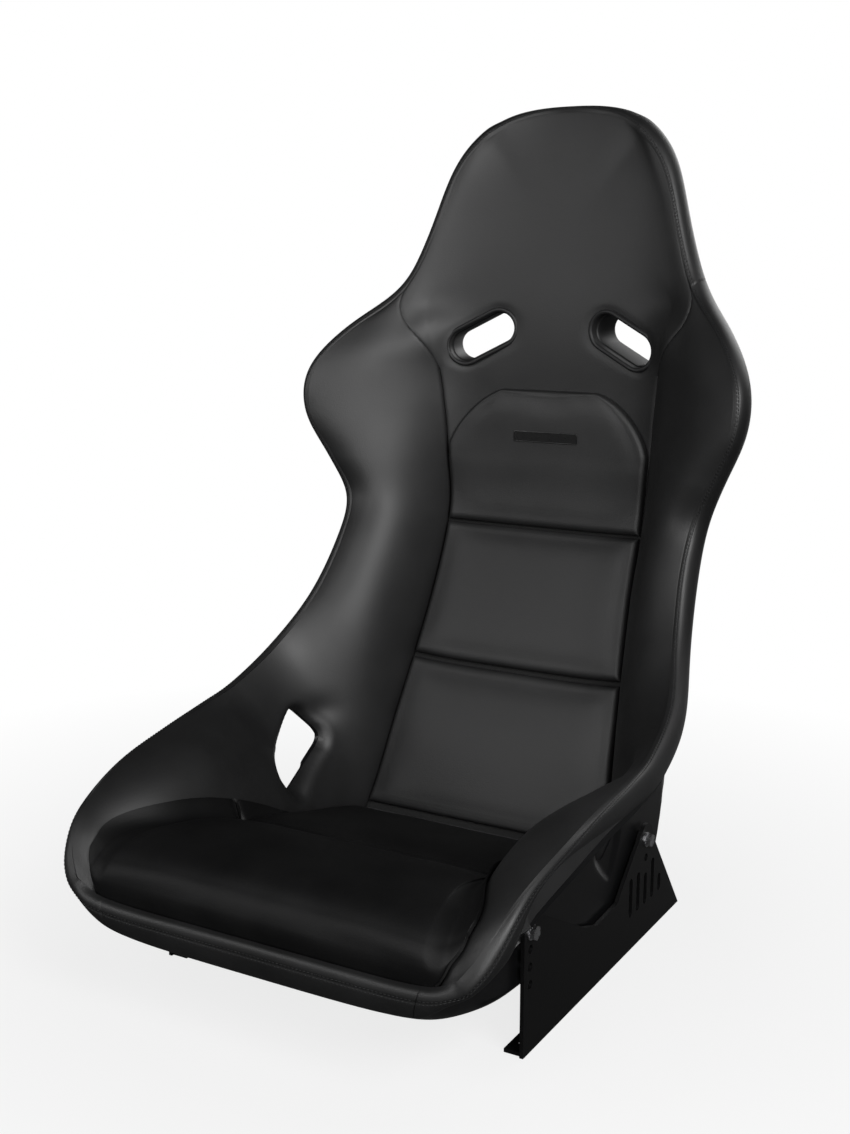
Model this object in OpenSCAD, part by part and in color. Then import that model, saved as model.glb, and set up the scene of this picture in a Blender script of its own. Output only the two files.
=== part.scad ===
// Bucket racing seat: a one-piece moulded shell, leather-covered foam, a lift-out
// cushion and two steel side mounts.  Millimetres.  +X is the occupant's left,
// the seat faces -Y, and Z = 0 is the floor under the mounts.

/* [Seat outline] */
// Width between the rims at the hips
hip_w = 522; // [500:2:550]
// Width between the rims at the waist
waist_w = 442; // [420:2:470]
// Width between the rims at the shoulder wings
shoulder_w = 544; // [520:2:580]
// Width between the rims where the head part starts
neck_w = 344; // [330:2:366]
// Width of the head part near its top
head_w = 248; // [232:2:270]
// Height of the front lip above the floor
lip_h = 122; // [114:1:130]
// Height of the rims beside the thighs
thigh_h = 245; // [230:1:260]
// Height of the waist above the floor
waist_h = 405; // [390:1:420]
// Height of the shoulder wings above the floor
shoulder_h = 590; // [575:1:605]
// Height of the neck above the floor
neck_h = 733; // [720:1:750]
// Height of the top of the head part
top_h = 923; // [905:1:950]

/* [Shell] */
// Wall of the moulded shell
wall = 5; // [4:0.5:7]
// Thickness of the padded rim, across the shell's edge
rim_t = 18; // [15:0.5:21]
// Height of the leather band on the outside of the rim
band_h = 22; // [16:0.5:26]
// Distance that the leather band bulges from the rim's edge
band_bulge = 8; // [6:0.5:11]
// Thickness of the felt liner under the cushion
liner_t = 9; // [7:0.5:12]

/* [Backrest] */
// Width of the backrest pads at the waist
pad_w = 262; // [250:2:274]
// Height of the soft pads above the foam of the backrest
pad_t = 9; // [7:0.5:12]
// Height of the lowest edge of the backrest pads
pad_bottom_h = 84; // [80:1:90]
// Height of the lower groove between the pads
groove_low_h = 252; // [240:1:264]
// Height of the upper groove between the pads
groove_high_h = 416; // [404:1:428]
// Height of the arched top of the upper pad
pad_top_h = 586; // [578:1:594]
// Width of the grooves between the pads
groove_w = 5; // [3:0.5:8]
// Width of the bare badge plate
badge_w = 85; // [60:1:100]
// Height of the bare badge plate
badge_h = 13; // [9:0.5:16]
// Thickness of the bare badge plate
badge_t = 1.6; // [1:0.2:3]

/* [Harness openings] */
// Length of each shoulder harness slot
slot_l = 88; // [80:1:94]
// Width of each shoulder harness slot
slot_w = 39; // [34:1:44]
// Width of the bezel round each shoulder harness slot
bezel_w = 5.5; // [4:0.5:7]
// Wall of the bezel's sleeve
sleeve_t = 2.5; // [2:0.25:3]
// Slope of the shoulder harness slots
slot_angle = 27; // [15:1:35]
// Distance of each slot's centre from the middle of the seat
slot_x = 93; // [86:1:100]
// Height of the shoulder harness slots
slot_h = 649; // [640:1:658]
// Length of each lap-belt opening, along its slope
belt_l = 100; // [90:1:106]
// Width of each lap-belt opening
belt_w = 54; // [46:1:58]
// Corner radius of each lap-belt opening
belt_r = 16; // [10:1:20]

/* [Seat cushion] */
// Height of the crown of the cushion's front roll above the floor
cushion_h = 178; // [168:1:186]
// Gap between the loose cushion and what surrounds it
cushion_gap = 1.5; // [1:0.25:3]
// Width of the groove across the cushion, at its cross seam
welt_w = 4; // [2:0.5:6]

/* [Side mounts] */
// Distance between the front and rear mounting bolts
bolt_pitch = 290; // [280:1:300]
// Diameter of the mounting bolts
bolt_d = 8; // [6:1:10]
// Height of the front mounting bolts above the floor
front_bolt_h = 125; // [120:1:130]
// Height of the rear mounting bolts above the floor
rear_bolt_h = 115; // [110:1:120]
// Width between the outer faces of the two mount plates
mount_w = 430; // [426:1:440]
// Thickness of the steel of the side mounts
plate_t = 4; // [3:0.5:5]
// Width of the floor flanges
flange_w = 22; // [21:0.5:30]
// Length of the floor flanges
flange_l = 407; // [395:1:420]
// Distance between the front and rear floor holes
floor_pitch = 270; // [240:1:280]
// Diameter of the floor holes
floor_hole_d = 9; // [8:0.5:11]
// Distance between neighbouring holes in the front column
hole_pitch = 18; // [16:0.5:20]
// Number of holes in the front column
hole_count = 4; // [2:1:4]
// Distance between neighbouring slots at the rear
lace_pitch = 21; // [19:0.5:23]
// Width of the rear slots
lace_w = 9; // [7:0.5:11]
// Distance between the shell's side and the mount plate
spacer_t = 4; // [2:0.5:6]

/* [Hidden] */

// Half widths and clearances
hip = hip_w / 2;
waist = waist_w / 2;
wing = shoulder_w / 2;
neck = neck_w / 2;
head = head_w / 2;
pad = pad_w / 2;
pan = wall + liner_t;
fit = 0.3;
cut_l = 300;
front_y = -298;
back_y = 334;

// The side of the shell is flat below this height, where the mounts bolt on
flat_x = mount_w / 2 - plate_t - spacer_t;
flat_top = 175;

// Cross sections of the seat, from the front lip to the top of the head part.  A row holds
//   rim x, y, z,   middle of the shell y, z,   middle of the foam's face y, z,
//   corner of the shell (share of rim x),   seam x and depth,   crest place and depth.
// Depths are shares of the way from the foam's middle to the rim.
SECTIONS = [
    [hip - 36,   front_y,      lip_h + 11,      front_y + 7, lip_h - 23,  front_y + 7, lip_h,
        0.84, 187, 0.00, 0.50, 0.20],
    [hip - 23,   front_y + 18, lip_h + 45,      front_y + 18, 82,         front_y + 24, 97,
        0.78, 186, 0.00, 0.45, 1.00],
    [hip - 13,   -245,         thigh_h - 45,    -248, 70,                 -246, 68 + pan,
        0.77, 178, 0.00, 0.35, 1.00],
    [hip - 4,    -180,         thigh_h - 24,    -184, 62,                 -183, 62 + pan,
        0.78, 165, 0.00, 0.03, 1.00],
    [hip - 2,    -100,         thigh_h - 10,    -95, 54,                  -94, 54 + pan,
        0.78, 155, 0.00, 0.00, 1.00],
    [hip,        -25,          thigh_h,         -10, 46,                  -9, 46 + pan,
        0.80, 154, 0.00, 0.15, 0.88],
    [hip - 1,    30,           thigh_h + 10,    75, 40,                   75, 40 + pan,
        0.80, 162, 0.00, 0.22, 0.70],
    [hip - 9,    102,          thigh_h + 42,    172, 52,                  156, 78,
        0.84, 158, 0.00, 0.30, 0.66],
    [waist + 11, 160,          waist_h - 64,    244, 170,                 215, 188,
        0.84, 147, 0.02, 0.20, 0.95],
    [waist,      203,          waist_h,         back_y - 25, 308,         back_y - 52, 325,
        0.82, pad + 3, 0.05, 0.30, 1.08],
    [waist + 2,  228,          waist_h + 50,    back_y + 17, 425,         back_y - 8, 430,
        0.74, pad, 0.08, 0.40, 1.12],
    [wing - 27,  219,          shoulder_h - 85, back_y + 29, 498,         back_y, 499,
        0.70, pad + 4, 0.12, 0.45, 1.00],
    [wing - 1,   206,          shoulder_h - 30, back_y + 32, 560,         back_y, 560,
        0.74, pad + 8, 0.13, 0.50, 0.85],
    [wing - 2,   215,          shoulder_h + 22, back_y + 33, 616,         back_y - 1, 616,
        0.72, pad + 15, 0.18, 0.50, 0.80],
    [wing - 35,  254,          shoulder_h + 69, back_y + 34, 664,         back_y, 663,
        0.74, pad + 26, 0.42, 0.50, 0.95],
    [neck + 26,  back_y - 39,  neck_h - 41,     back_y + 36, 702,         back_y + 3, 700,
        0.80, pad + 47, 0.65, 0.50, 0.95],
    [neck,       back_y - 20,  neck_h,          back_y + 41, 745,         back_y + 9, 742,
        0.82, neck - 25, 0.70, 0.50, 0.92],
    [head + 27,  back_y - 6,   top_h - 126,     back_y + 48, top_h - 111, back_y + 18, top_h - 115,
        0.78, head + 4, 0.55, 0.50, 0.85],
    [head + 12,  back_y + 6,   top_h - 71,      back_y + 54, top_h - 51,  back_y + 27, top_h - 53,
        0.79, head - 10, 0.50, 0.50, 0.85],
    [head - 24,  back_y + 15,  top_h - 31,      back_y + 54, top_h - 12,  back_y + 39, top_h - 3,
        0.77, head - 46, 0.50, 0.50, 0.75]];
last = len(SECTIONS) - 1;

// Steps of the loft: rows for each section, columns from the middle to the seam and on to the rim
row_steps = 2;
seam_cols = 4;
side_cols = 5;
rows = last * row_steps;
rim_col = seam_cols + side_cols;

// Rows at which the pieces of the upholstery meet
hip_row = 7 * row_steps;
panel_row = 11 * row_steps;
neck_row = 15 * row_steps + 1;

function unit(v) = v / norm(v);
function mix(a, b, t) = a + (b - a) * t;

// Row of a table at place s, on a smooth curve through the rows
function at(table, s) =
    let (n = len(table),
        i = max(0, min(floor(s), n - 2)),
        t = s - i,
        p1 = table[i],
        p2 = table[i + 1],
        p0 = i > 0 ? table[i - 1] : 2 * p1 - p2,
        p3 = i + 2 < n ? table[i + 2] : 2 * p2 - p1)
    p1 + (p2 - p0) * t / 2 + (2 * p0 - 5 * p1 + 4 * p2 - p3) * t * t / 2
        + (3 * p1 - p0 - 3 * p2 + p3) * t * t * t / 2;

function rim(r) = [r[0], r[1], r[2]];
function spine(r) = [0, r[3], r[4]];
function foam_mid(r) = [0, r[5], r[6]];
function corner(r) = [r[7] * r[0], r[3], r[4]];
function seam(r) = let (p = mix(foam_mid(r), rim(r), r[9])) [r[8], p[1], p[2]];
function crest(r) = let (p = mix(foam_mid(r), rim(r), r[11])) [mix(r[8], r[0], r[10]), p[1], p[2]];

// Edge of the shell: out from the rim and down its outside
function shell_edge(r) =
    let (up = unit(rim(r) - corner(r)),
        out = unit([1, 0, 0] - up[0] * up))
    rim(r) + rim_t * out - band_h * up;

// Outside of the shell, t = 0 in the middle and 1 at its edge
function shell_curve(r, t) =
    let (a = pow(1 - t, 5), b = pow(t, 5))
    a * spine(r) + (1 - a - b) * corner(r) + b * shell_edge(r);
function flatten(p, edge) =
    let (rise = max(0, p[2] - flat_top) / max(1, edge[2] - flat_top),
        limit = mix(flat_x, edge[0], min(1, rise)))
    edge[2] > flat_top + 10 ? [min(p[0], limit), p[1], p[2]] : p;
function shell_point(s, t) =
    let (r = at(SECTIONS, s))
    flatten(shell_curve(r, t), shell_edge(r));

// Face of the foam: x from the middle to the seam, then t = 0 to 1 over the bolster to the rim
function panel_point(s, x) =
    let (r = at(SECTIONS, s), q = seam(r), m = foam_mid(r), k = pow(abs(x) / q[0], 4))
    [x, mix(m[1], q[1], k), mix(m[2], q[2], k)];
function side_point(s, t) =
    let (r = at(SECTIONS, s), u = 1 - t)
    u * u * seam(r) + 2 * u * t * crest(r) + t * t * rim(r);
function foam_point(s, col) = col <= seam_cols
    ? panel_point(s, at(SECTIONS, s)[8] * col / seam_cols)
    : side_point(s, (col - seam_cols) / side_cols);

// Grids of points: rows from the lip to the head, columns from one rim to the other
function mirrored(p, side) = side < 0 ? [-p[0], p[1], p[2]] : p;
function grid(point) = [for (i = [0:rows]) [for (c = [-rim_col:rim_col])
    mirrored(point(i / row_steps, abs(c)), c)]];
function normal(g, i, j) = unit(cross(
    g[i][min(j + 1, len(g[i]) - 1)] - g[i][max(j - 1, 0)],
    g[min(i + 1, len(g) - 1)][j] - g[max(i - 1, 0)][j]));
function raised(g, height) = [for (i = [0:len(g) - 1]) [for (j = [0:len(g[i]) - 1])
    g[i][j] + height(i, j) * normal(g, i, j)]];
function part_of(g, r0, r1, c0, c1) = [for (i = [r0:r1]) [for (c = [c0:c1]) g[i][c + rim_col]]];

outside = grid(function(s, c) shell_point(s, c / rim_col));
inside = raised(outside, function(i, j) wall);
foam = grid(function(s, c) foam_point(s, c));

// Point on the triangles of the foam's face: row s and column u, counted from the middle
function foam_face(s, u) =
    let (i = min(floor(s * row_steps), rows - 1),
        j = min(floor(u), rim_col - 1),
        f = s * row_steps - i,
        g = u - j,
        a = foam[i][j + rim_col],
        c = foam[i + 1][j + 1 + rim_col],
        b = g > f ? foam[i][j + 1 + rim_col] : foam[i + 1][j + rim_col])
    a + max(f, g) * (b - a) + min(f, g) * (c - b);
function seam_x(s) = foam_face(s, seam_cols)[0];

// Closed solid between two grids.  Its diagonals turn at column mid, so that the halves match.
function quad(a, b, c, d, flip) = flip ? [[a, b, d], [b, c, d]] : [[a, b, c], [a, c, d]];
module slab(lower, upper, mid = 0) {
    n = len(lower);
    m = len(lower[0]);
    id = function(i, j, k) (k * n + i) * m + j;
    points = concat([for (row = lower) each row], [for (row = upper) each row]);
    faces = concat(
        [for (i = [0:n - 2]) for (j = [0:m - 2]) each
            quad(id(i, j, 0), id(i, j + 1, 0), id(i + 1, j + 1, 0), id(i + 1, j, 0), j < mid)],
        [for (i = [0:n - 2]) for (j = [0:m - 2]) each
            quad(id(i, j, 1), id(i + 1, j, 1), id(i + 1, j + 1, 1), id(i, j + 1, 1), j < mid)],
        [for (i = [0:n - 2]) each
            quad(id(i, 0, 0), id(i + 1, 0, 0), id(i + 1, 0, 1), id(i, 0, 1), false)],
        [for (i = [0:n - 2]) each
            quad(id(i, m - 1, 0), id(i, m - 1, 1), id(i + 1, m - 1, 1), id(i + 1, m - 1, 0), false)],
        [for (j = [0:m - 2]) each
            quad(id(0, j, 0), id(0, j, 1), id(0, j + 1, 1), id(0, j + 1, 0), j < mid)],
        [for (j = [0:m - 2]) each
            quad(id(n - 1, j, 0), id(n - 1, j + 1, 0), id(n - 1, j + 1, 1), id(n - 1, j, 1), j < mid)]);
    polyhedron(points, faces, convexity = 10);
}

module both_sides() {
    children();
    mirror([1, 0, 0]) children();
}

// Rounded outlines with true arcs
module rounded_rect(l, w, r) {
    square([l - 2 * r, w], center = true);
    square([l, w - 2 * r], center = true);
    for (x = [-1, 1], y = [-1, 1])
        translate([x * (l / 2 - r), y * (w / 2 - r)]) circle(r, $fn = 48);
}

// Row whose foam lies at height z on the middle of the seat
function row_at_height(z, lo = 7, hi = 19, tries = 14) =
    let (m = (lo + hi) / 2)
    tries == 0 ? m
    : at(SECTIONS, m)[6] < z ? row_at_height(z, m, hi, tries - 1)
    : row_at_height(z, lo, m, tries - 1);

// Shoulder harness slots: they point out of the foam's face
slot_row = row_at_height(slot_h);
slot_at = panel_point(slot_row, slot_x);
slot_dx = panel_point(slot_row, slot_x + 8) - panel_point(slot_row, slot_x - 8);
slot_yaw = atan2(slot_dx[1], slot_dx[0]);
slot_back = max(spine(at(SECTIONS, slot_row - 0.8))[1], spine(at(SECTIONS, slot_row + 0.8))[1]);
flange_t = 2.5;
ring_w = bezel_w + 2;
module at_slot() {
    translate(slot_at) rotate([90, 0, slot_yaw]) rotate(-slot_angle) children();
}
module slot_prism(grow, low, high) {
    at_slot() translate([0, 0, low]) linear_extrude(high - low)
        rounded_rect(slot_l + 2 * grow, slot_w + 2 * grow, slot_w / 2 + grow - 0.01);
}
module slot_bezel() {
    difference() {
        union() {
            slot_prism(bezel_w, fit, flange_t);
            slot_prism(bezel_w - 2, fit, flange_t + 1.2);
            intersection() {
                slot_prism(sleeve_t, -90, 1);
                translate([0, slot_at[1] - 60, 0]) cube([cut_l, slot_back - slot_at[1] + 64, top_h]);
            }
        }
        slot_prism(0, -100, 20);
    }
}
module slot_ring() {
    intersection() {
        difference() {
            slot_prism(ring_w, -90, 0);
            slot_prism(sleeve_t + fit, -100, 10);
        }
        translate([0, slot_back + fit, 0]) cube([cut_l, 4 - fit, top_h]);
    }
}
// Room for the sleeve and for the bezel's flange
module slot_room() {
    slot_prism(sleeve_t + fit, -100, 20);
    slot_prism(bezel_w + fit, 0, 30);
}

// Lap-belt openings through the sides
belt_y = 66;
belt_h = 169;
belt_angle = 32;
module belt_room() {
    translate([hip - 140, belt_y, belt_h]) rotate([0, 90, 0]) rotate([0, 0, 90])
        rotate(belt_angle) linear_extrude(cut_l) rounded_rect(belt_l, belt_w, belt_r);
}

// Mounting points: [y, z] of the front and rear bolts
BOLTS = [[-bolt_pitch / 2, front_bolt_h], [bolt_pitch / 2, rear_bolt_h]];
insert_d = bolt_d + 6;
insert_l = 14;
spacer_d = insert_d + 8;
washer_d = 2 * bolt_d;
washer_t = 1.6;
head_af = 1.625 * bolt_d;
head_t = 0.65 * bolt_d;
mount_x = mount_w / 2;
module at_bolts(x) {
    for (b = BOLTS)
        translate([x, b[0], b[1]]) rotate([0, 90, 0]) children();
}
module insert_room() {
    at_bolts(flat_x - insert_l - 4) cylinder(d = insert_d + 2 * fit, h = insert_l + 14);
}

module seat_shell() {
    color([0.06, 0.06, 0.065]) difference() {
        slab(outside, inside, rim_col);
        both_sides() slot_prism(sleeve_t + fit, -100, 20);
        both_sides() belt_room();
        both_sides() at_bolts(flat_x - 25) cylinder(d = insert_d, h = 60);
        both_sides() at_bolts(flat_x + 0.02) cylinder(d = spacer_d + 1, h = 20);
    }
}

module lining(r0, r1, side) {
    slab(part_of(inside, r0, r1, -side, side), part_of(foam, r0, r1, -side, side), side);
}
module pan_liner() {
    color([0.16, 0.16, 0.17]) lining(0, hip_row, seam_cols);
}
module back_foam() {
    color([0.2, 0.2, 0.21]) lining(hip_row, panel_row, seam_cols);
}
module head_cover() {
    color([0.13, 0.13, 0.13]) difference() {
        union() {
            lining(panel_row, neck_row, seam_cols);
            lining(neck_row, rows, rim_col);
        }
        both_sides() slot_room();
    }
}
module bolster() {
    difference() {
        slab(part_of(inside, 0, neck_row, seam_cols, rim_col),
            part_of(foam, 0, neck_row, seam_cols, rim_col));
        belt_room();
        insert_room();
    }
}
module left_bolster() {
    color([0.12, 0.12, 0.12]) bolster();
}
module right_bolster() {
    color([0.12, 0.12, 0.12]) mirror([1, 0, 0]) bolster();
}

// Soft pads on the backrest, between two rows.  half_width(t) gives the outline.
pad_seat = 0.7;
pad_cols = 5;
pad_rows = 8;
module backrest_pad(s0, s1, half_width) {
    seat = [for (i = [0:pad_rows])
        let (s = mix(s0, s1, i / pad_rows), reach = seam_cols * half_width(i / pad_rows) / seam_x(s))
        [for (j = [-pad_cols:pad_cols]) mirrored(foam_face(s, reach * abs(j) / pad_cols), j)]];
    edge = function(k, n) k == 0 || k == n ? 0.4 : 1;
    slab(raised(seat, function(i, j) pad_seat),
        raised(seat, function(i, j) pad_seat + pad_t * min(edge(i, pad_rows), edge(j, 2 * pad_cols))));
}
pad_gap = 2;
function seam_half(s) = at(SECTIONS, s)[8] - pad_gap;
low_row = row_at_height(groove_low_h);
high_row = row_at_height(groove_high_h);
top_row = row_at_height(pad_top_h);
bottom_row = row_at_height(pad_bottom_h);
groove_rows = groove_w / 2 / 70;
arch_row = 11.2;
arch_half = 62;
function arch_half_width(s) =
    let (t = max(0, (s - arch_row) / (top_row - arch_row)), base = seam_half(min(s, arch_row)))
    arch_half + (base - arch_half) * pow(1 - pow(t, 1.45), 1 / 1.45);
module backrest_pad_lower() {
    color([0.15, 0.15, 0.15]) backrest_pad(bottom_row, low_row - groove_rows,
        function(t) seam_half(mix(bottom_row, low_row - groove_rows, t)));
}
module backrest_pad_middle() {
    color([0.15, 0.15, 0.15]) backrest_pad(low_row + groove_rows, high_row - groove_rows,
        function(t) seam_half(mix(low_row, high_row, t)));
}
module backrest_pad_upper() {
    color([0.15, 0.15, 0.15]) backrest_pad(high_row + groove_rows, top_row,
        function(t) arch_half_width(mix(high_row + groove_rows, top_row, t)));
}
badge_z = mix(groove_high_h, pad_top_h, 0.67);
module badge_plate() {
    face = foam_face(row_at_height(badge_z), 0)[1] - pad_t - pad_seat;
    color([0.1, 0.1, 0.1]) translate([0, face - 2 * fit, badge_z]) rotate([90, 0, 0])
        linear_extrude(badge_t) rounded_rect(badge_w, badge_h, 2);
}

// Leather band round the edge of the seat.  Place k runs from the middle of the lip,
// along the rim, to the middle of the head part, and on down the other side.
half_loop = 2 * rim_col + rows;
function edge_cell(k) =
    k < 0 ? let (e = edge_cell(-k)) [e[0], -e[1]]
    : k > half_loop ? let (e = edge_cell(2 * half_loop - k)) [e[0], -e[1]]
    : k <= rim_col ? [0, k]
    : k <= rim_col + rows ? [k - rim_col, rim_col]
    : [rows, half_loop - k];
function edge_point(g, k) = let (e = edge_cell(k)) g[e[0]][e[1] + rim_col];
arc_steps = 5;
module band(k0, k1) {
    ring = function(k)
        let (s = edge_point(outside, k),
            l = edge_point(foam, k),
            along = edge_point(foam, k + 1) - edge_point(foam, k - 1),
            bulge = unit(cross(along, l - s)))
        concat([s, edge_point(inside, k)], [for (a = [0:arc_steps - 1])
            let (w = 180 * a / arc_steps)
            (l + s) / 2 + (l - s) / 2 * cos(w) + band_bulge * bulge * sin(w)]);
    n = k1 - k0 + 1;
    m = arc_steps + 2;
    id = function(i, j) i * m + j % m;
    points = [for (k = [k0:k1]) each ring(k)];
    flips = [for (k = [k0:k1 - 1])
        let (left = k < 0 || k >= half_loop, place = k < half_loop ? k : 2 * half_loop - 1 - k)
        (place >= rim_col + rows) != left];
    faces = concat(
        [for (i = [0:n - 2]) for (j = [0:m - 1]) each
            quad(id(i, j), id(i + 1, j), id(i + 1, j + 1), id(i, j + 1), j > 1 || flips[i])],
        [for (j = [1:m - 2]) [id(0, 0), id(0, j), id(0, j + 1)]],
        [for (j = [1:m - 2]) [id(n - 1, 0), id(n - 1, j + 1), id(n - 1, j)]]);
    polyhedron(points, faces, convexity = 6);
}
module side_band() {
    band(seam_cols, rim_col + neck_row);
}
module front_lip_cover() {
    color([0.1, 0.1, 0.1]) band(-seam_cols, seam_cols);
}
module left_rim_band() {
    color([0.09, 0.09, 0.09]) side_band();
}
module right_rim_band() {
    color([0.09, 0.09, 0.09]) mirror([1, 0, 0]) side_band();
}
module head_rim_band() {
    color([0.09, 0.09, 0.09]) band(rim_col + neck_row, 2 * half_loop - rim_col - neck_row);
}

module left_slot_bezel() {
    color([0.08, 0.08, 0.085]) slot_bezel();
}
module right_slot_bezel() {
    color([0.08, 0.08, 0.085]) mirror([1, 0, 0]) slot_bezel();
}
module left_slot_ring() {
    color([0.08, 0.08, 0.085]) slot_ring();
}
module right_slot_ring() {
    color([0.08, 0.08, 0.085]) mirror([1, 0, 0]) slot_ring();
}

// Loose cushion.  A row holds its place along the seat, y and z of its top on the middle,
// and how far up the bolster's face its edge reaches.
CUSHION = [
    [0.30, front_y + 9,  lip_h + 4,      0.25],
    [1.00, front_y + 5,  cushion_h - 32, 0.58],
    [1.50, front_y + 15, cushion_h - 13, 0.60],
    [2.00, -258, cushion_h - 1,  0.61],
    [3.00, -192, cushion_h - 2,  0.50],
    [3.50, -140, cushion_h - 12, 0.43],
    [4.00, -96,  cushion_h - 27, 0.35],
    [5.00, -12,  cushion_h - 48, 0.22],
    [6.00, 70,   cushion_h - 72, 0.12],
    [6.75, 128,  cushion_h - 88, 0.05]];
welt_place = 6;
welt_half = welt_w / 2 / 90;
cushion_cols = 7;
cushion_flat = 4 / cushion_cols;
module cushion_part(p0, p1) {
    n = ceil((p1 - p0) * 1.5);
    place = [for (i = [0:n]) at(CUSHION, mix(p0, p1, i / n))];
    base = [for (r = place) [for (c = [-cushion_cols:cushion_cols])
        let (t = abs(c) / cushion_cols, beyond = max(0, t - cushion_flat) / (1 - cushion_flat))
        mirrored(foam_face(r[0], seam_cols * min(1, t / cushion_flat) + side_cols * r[3] * beyond), c)]];
    lower = raised(base, function(i, j) cushion_gap * (abs(j - cushion_cols) > 3 ? 1.6 : 1));
    upper = [for (i = [0:n]) [for (c = [-cushion_cols:cushion_cols])
        let (edge = lower[i][c + cushion_cols], k = pow(abs(c) / cushion_cols, 5), r = place[i])
        [edge[0] * 0.995, mix(r[1], edge[1], k), mix(r[2], edge[2] + 4, k)]]];
    slab(lower, upper, cushion_cols);
}
module cushion_front_roll() {
    color([0.11, 0.11, 0.11]) cushion_part(0, welt_place - welt_half);
}
module cushion_rear_pad() {
    color([0.11, 0.11, 0.11]) cushion_part(welt_place + welt_half, len(CUSHION) - 1);
}

// Hook-and-loop strips on the liner, under the cushion
strip_t = cushion_gap / 2;
module cushion_grip_strips() {
    color([0.05, 0.05, 0.05]) both_sides() {
        seat = [for (i = [0:6]) [for (j = [0:2]) foam_face(mix(2.6, 5.4, i / 6), 1.8 + 0.3 * j)]];
        slab(raised(seat, function(i, j) fit), raised(seat, function(i, j) fit + strip_t));
    }
}

// Side mounts: an upright plate with a floor flange turned inwards
flange_front = -155;
rear_end = flange_front + flange_l;
ear_r = 18;
lace_tops = [84, 84, 76, 86, 60];
lace_low = 39;
lace_mid = floor(len(lace_tops) / 2);
module plate_outline() {
    polygon([[flange_front - 3, 0], [flange_front - 3, front_bolt_h + 15],
        [flange_front + 21, front_bolt_h + 15], [-20, 78], [12, 67], [66, 70], [88, 90],
        [bolt_pitch / 2 - 14, rear_bolt_h + 12], [bolt_pitch / 2 + 16, rear_bolt_h + 9],
        [bolt_pitch / 2 + 22, rear_bolt_h - 5], [rear_end, 0]]);
    translate([bolt_pitch / 2, rear_bolt_h]) circle(ear_r, $fn = 64);
}
module side_mount() {
    difference() {
        union() {
            translate([mount_x - plate_t, 0, 0]) rotate([90, 0, 90])
                linear_extrude(plate_t) plate_outline();
            translate([mount_x - flange_w, flange_front, 0])
                cube([flange_w - plate_t + 0.01, rear_end - flange_front, plate_t]);
        }
        at_bolts(mount_x - plate_t - 5) cylinder(d = bolt_d + 1, h = plate_t + 10);
        for (i = [1:hole_count - 1])
            translate([mount_x - plate_t - 5, BOLTS[0][0], front_bolt_h - i * hole_pitch])
                rotate([0, 90, 0]) cylinder(d = bolt_d + 1, h = plate_t + 10);
        translate([mount_x - plate_t - 5, BOLTS[1][0], rear_bolt_h - 21])
            rotate([0, 90, 0]) cylinder(d = bolt_d + 1, h = plate_t + 10);
        for (i = [0:len(lace_tops) - 1])
            translate([mount_x - plate_t - 5, bolt_pitch / 2 + (i - lace_mid) * lace_pitch,
                (lace_tops[i] + lace_low) / 2]) rotate([0, 90, 0]) linear_extrude(plate_t + 10)
                rounded_rect(lace_tops[i] - lace_low, lace_w, lace_w / 2 - 0.01);
        for (y = [-floor_pitch / 2, floor_pitch / 2])
            translate([floor_x, y, -1]) cylinder(d = floor_hole_d, h = plate_t + 2);
    }
}
floor_x = mount_x - flange_w + 9;
module left_side_mount() {
    color([0.05, 0.05, 0.05]) side_mount();
}
module right_side_mount() {
    color([0.05, 0.05, 0.05]) mirror([1, 0, 0]) side_mount();
}
module mount_spacers() {
    color([0.1, 0.1, 0.1]) both_sides() at_bolts(flat_x) difference() {
        cylinder(d = spacer_d, h = spacer_t);
        translate([0, 0, -1]) cylinder(d = bolt_d + 1, h = spacer_t + 2);
    }
}
module threaded_inserts() {
    color([0.7, 0.7, 0.72]) both_sides() at_bolts(flat_x - insert_l) difference() {
        cylinder(d = insert_d, h = insert_l);
        translate([0, 0, -1]) cylinder(d = bolt_d, h = insert_l + 2);
    }
}
module mount_washers() {
    color([0.8, 0.8, 0.82]) both_sides() at_bolts(mount_x) difference() {
        cylinder(d = washer_d, h = washer_t);
        translate([0, 0, -1]) cylinder(d = bolt_d + 0.4, h = washer_t + 2);
    }
}
module mount_bolts() {
    color([0.8, 0.8, 0.82]) both_sides() {
        at_bolts(mount_x + washer_t) cylinder(d = head_af / cos(30), h = head_t, $fn = 6);
        at_bolts(flat_x - insert_l + 1)
            cylinder(d = bolt_d, h = mount_x + washer_t - flat_x + insert_l - 1);
    }
}

seat_shell();
pan_liner();
back_foam();
left_bolster();
right_bolster();
head_cover();
backrest_pad_lower();
backrest_pad_middle();
backrest_pad_upper();
badge_plate();
front_lip_cover();
left_rim_band();
right_rim_band();
head_rim_band();
left_slot_bezel();
right_slot_bezel();
left_slot_ring();
right_slot_ring();
cushion_front_roll();
cushion_rear_pad();
cushion_grip_strips();
left_side_mount();
right_side_mount();
mount_spacers();
threaded_inserts();
mount_washers();
mount_bolts();
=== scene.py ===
from math import atan2, cos, pi, radians, sin

import bmesh
import bpy
import numpy as np
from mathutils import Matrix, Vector
from mathutils.kdtree import KDTree

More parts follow.
